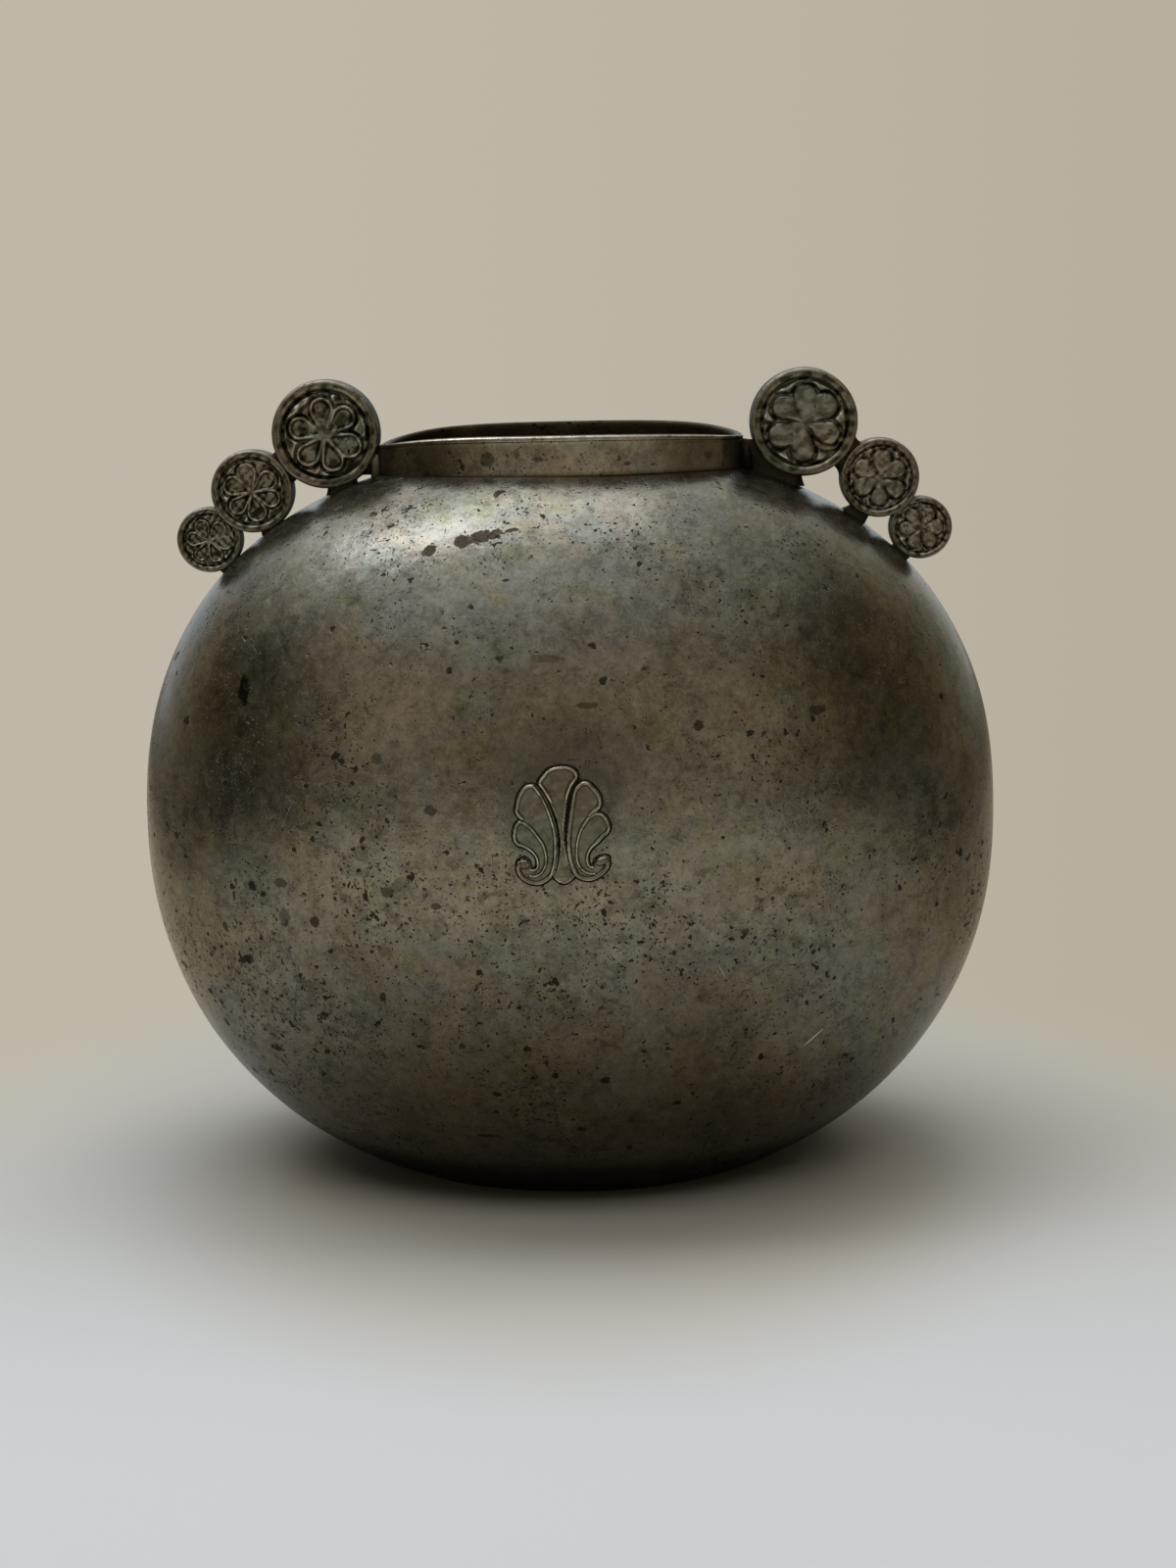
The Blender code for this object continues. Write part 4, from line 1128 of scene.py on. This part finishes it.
# Stage
FLOOR_RINGS = (0.002, 0.03, 0.06, 0.10, 0.15, 0.22, 0.32, 0.5, 0.8, 1.3, 2.2, 4.0)
FLOOR_SEGMENTS = 96
WALL_COLOUR = (0.522, 0.480, 0.400)
WALL_RIGHT = (0.912, 0.895, 0.860)
WALL_TURN = (-0.20, 0.30)
FLOOR_COLOUR = (0.630, 0.645, 0.615)
# Painted light: the paper lighter in front and darker and warmer behind
PAPER_FRONT = (0.870, 0.875, 0.860)
PAPER_BACK = (0.735, 0.695, 0.605)
# Painted shadow: tint of the paper under and before the vase
PAPER_SHADED = (0.90, 0.84, 0.76)
# Tint of the painted reflection in the floor's glow
MIRRORED_TINT = (1.02, 0.985, 0.92)


def make_floor():
    """Flat round floor whose faces look up"""
    turn = ring_turns(FLOOR_SEGMENTS)
    ring = np.column_stack([np.cos(turn), np.sin(turn), np.zeros(FLOOR_SEGMENTS)])
    faces = [tuple(range(FLOOR_SEGMENTS)), *ring_faces(len(FLOOR_RINGS), FLOOR_SEGMENTS)]
    floor = add_mesh("floor", np.concatenate([radius * ring for radius in FLOOR_RINGS]), faces, 40)
    if floor.data.polygons[0].normal.z < 0:
        floor.data.flip_normals()
    return floor


def wall_shade(nodes, heading):
    """Plain colour of the wall, a little darker towards the right"""
    return nodes.mix(heading.shape(*WALL_TURN), WALL_COLOUR, multiplied(WALL_COLOUR, WALL_RIGHT))


def stage_material():
    """Pale paper with painted light and a painted shadow, that turns into the plain colour of the wall away
    from the object, where for all rays but the camera's it glows with a painted reflection of a room
    """
    shader = Shader("pale_paper")
    x, y, _ = shader.parts()
    # From the front of the paper to its back, where it is darker and warmer: painted light
    near = y.shape(-0.15, 0.04)
    # Painted shadow: darker, warmer paper round the vase's foot and before it
    under = shader.distance(x / 0.070, (y + 0.025) / 0.072).shape(1.45, 0.75)
    paper = shader.mix(under, shader.mix(near, PAPER_FRONT, PAPER_BACK), PAPER_SHADED, "MULTIPLY")
    shader.put(paper, shader.principled.inputs["Base Color"])
    shader.principled.inputs["Roughness"].default_value = 0.9
    shader.principled.inputs["Specular IOR Level"].default_value = 0.2
    # Painted reflection: for all rays but the camera's, the far floor glows with a made-up room: a table in
    # front, the room in front and to the right, and the sides
    table = y.shape(-0.78, -0.58) * abs(x).shape(0.52, 0.30)
    table = table * (abs(x + 0.10).shape(0.34, 0.02, 1.08, 1.60) * y.shape(-0.26, -0.15, 1.0, 0.72))
    front_room = y.shape(-1.1, -1.9) * abs(x - 1.2).shape(2.2, 0.3, 0.24, 0.90)
    right_room = x.shape(1.8, 2.8, 0.13, 0.80)
    aside_room = abs(x).shape(0.28, 0.54) * y.shape(-0.20, 0.15, 0.0, 0.42)
    mirrored = largest([table, front_room, right_room, aside_room])
    wall = wall_shade(shader, (x - CAMERA_PLACE[0]) / (y - CAMERA_PLACE[1]).most(0.05))
    plain = shader.mix(near, FLOOR_COLOUR, wall)
    tinted = shader.mix(1.0, plain, MIRRORED_TINT, "MULTIPLY")
    direct = shader.field("LightPath", output="Is Camera Ray")
    colour = shader.mix(direct, tinted, plain)
    strength = shader.mix(direct, mirrored, 1.0, data_type="FLOAT")
    glow = shader.field("Emission", {"Color": colour, "Strength": strength})
    fade = shader.distance(x, y + 0.05).shape(0.125, 0.205)
    lit = Field(shader, shader.principled.outputs[0])
    blend = shader.field("MixShader", {0: fade, 1: lit, 2: glow})
    shader.put(blend, shader.tree.nodes["Material Output"].inputs["Surface"])
    return shader.material


floor = make_floor()
floor.data.materials.append(stage_material())


def make_world():
    """Plain wall for the camera, a soft room in what mirrors it, and a dim light for the rest"""
    world = bpy.data.worlds.new("soft_room")
    bpy.context.scene.world = world
    world.use_nodes = True
    nodes = Nodes(world.node_tree, "Generated")
    across, forward, up = nodes.parts()
    middle = abs(across + 0.06).shape(0.82, 0.58, 0.105, 0.41)
    back = forward.shape(-0.15, 0.70, 0.0, 0.25)
    rise_left = up.shape(0.40, 0.88) * across.shape(0.75, -0.35, 0.06, 0.62)
    top = up.shape(0.62, 0.97, 0.0, 0.14)
    behind = forward.shape(0.35, 0.72, 0.0, 0.50) * up.shape(0.14, 0.48)
    behind = behind * abs(across).shape(0.72, 0.48) * across.shape(0.40, 0.0, 0.4, 1.0)
    low = up.shape(0.62, 0.20) * forward.shape(-0.30, -0.75, 0.0, 0.10)
    mirrored = middle + back + rise_left + top + behind + low
    path = nodes.node("LightPath").outputs
    lit = up.shape(0.55, 0.85, 0.05, 0.15)
    strength = nodes.mix(Field(nodes, path["Is Glossy Ray"]), lit, mirrored, data_type="FLOAT")
    cool = up.shape(0.30, 0.85).most(forward.shape(0.20, 0.60))
    sides = across.shape(-0.70, -0.95).most(across.shape(0.25, 0.85))
    warmth = nodes.mix(cool, (1.05, 0.96, 0.80), (0.93, 1.00, 1.05))
    warmth = nodes.mix(sides, warmth, (1.06, 0.97, 0.74), "MULTIPLY")
    room = nodes.mix(strength, (0.0, 0.0, 0.0), warmth, clamp_factor=False)
    wall = wall_shade(nodes, across / abs(forward).most(0.05))
    background = nodes.tree.nodes["Background"]
    nodes.put(nodes.mix(Field(nodes, path["Is Camera Ray"]), room, wall), background.inputs["Color"])
    background.inputs["Strength"].default_value = 1.0


make_world()

COOL = (0.89, 1.0, 1.15)
WHITE = (1.0, 1.0, 1.0)
# Soft lamps that face down: name, place, size, strength, colour, and whether the metal mirrors them
LAMPS = (
    ("window", (-0.28, 0.10, 1.00), (0.92, 0.52), 2.15, COOL, True),
    ("window_bright", (-0.40, 0.00, 0.98), (0.40, 0.26), 0.85, COOL, True),
    ("fill_middle", (0.02, 0.10, 1.00), (0.50, 0.30), 1.80, WHITE, False),
    ("fill_right", (0.45, 0.15, 1.00), (0.60, 0.50), 1.25, WHITE, False),
    ("fill_front", (0.25, -0.65, 1.00), (1.20, 0.60), 2.3, WHITE, False),
    ("fill_left", (-0.60, -0.30, 1.00), (0.50, 0.50), 1.3, WHITE, False),
)
for name, place, size, strength, colour, mirrored in LAMPS:
    light = bpy.data.lights.new(name, "AREA")
    light.shape = "RECTANGLE"
    light.size, light.size_y = size
    light.energy = strength
    light.color = colour
    lamp = bpy.data.objects.new(name, light)
    bpy.context.scene.collection.objects.link(lamp)
    lamp.location = place
    lamp.visible_glossy = mirrored

camera_data = bpy.data.cameras.new("camera")
camera_data.lens = LENS
camera_data.sensor_width = 36.0
camera_data.clip_start = 0.01
camera = bpy.data.objects.new("camera", camera_data)
bpy.context.scene.collection.objects.link(camera)
camera.matrix_world = (Matrix.Translation(CAMERA_PLACE)
                       @ Matrix.Rotation(math.radians(CAMERA_HEADING), 4, "Z")
                       @ Matrix.Rotation(math.radians(90 + CAMERA_PITCH), 4, "X")
                       @ Matrix.Rotation(math.radians(CAMERA_ROLL), 4, "Z"))
bpy.context.scene.camera = camera
bpy.context.scene.view_settings.view_transform = "Standard"
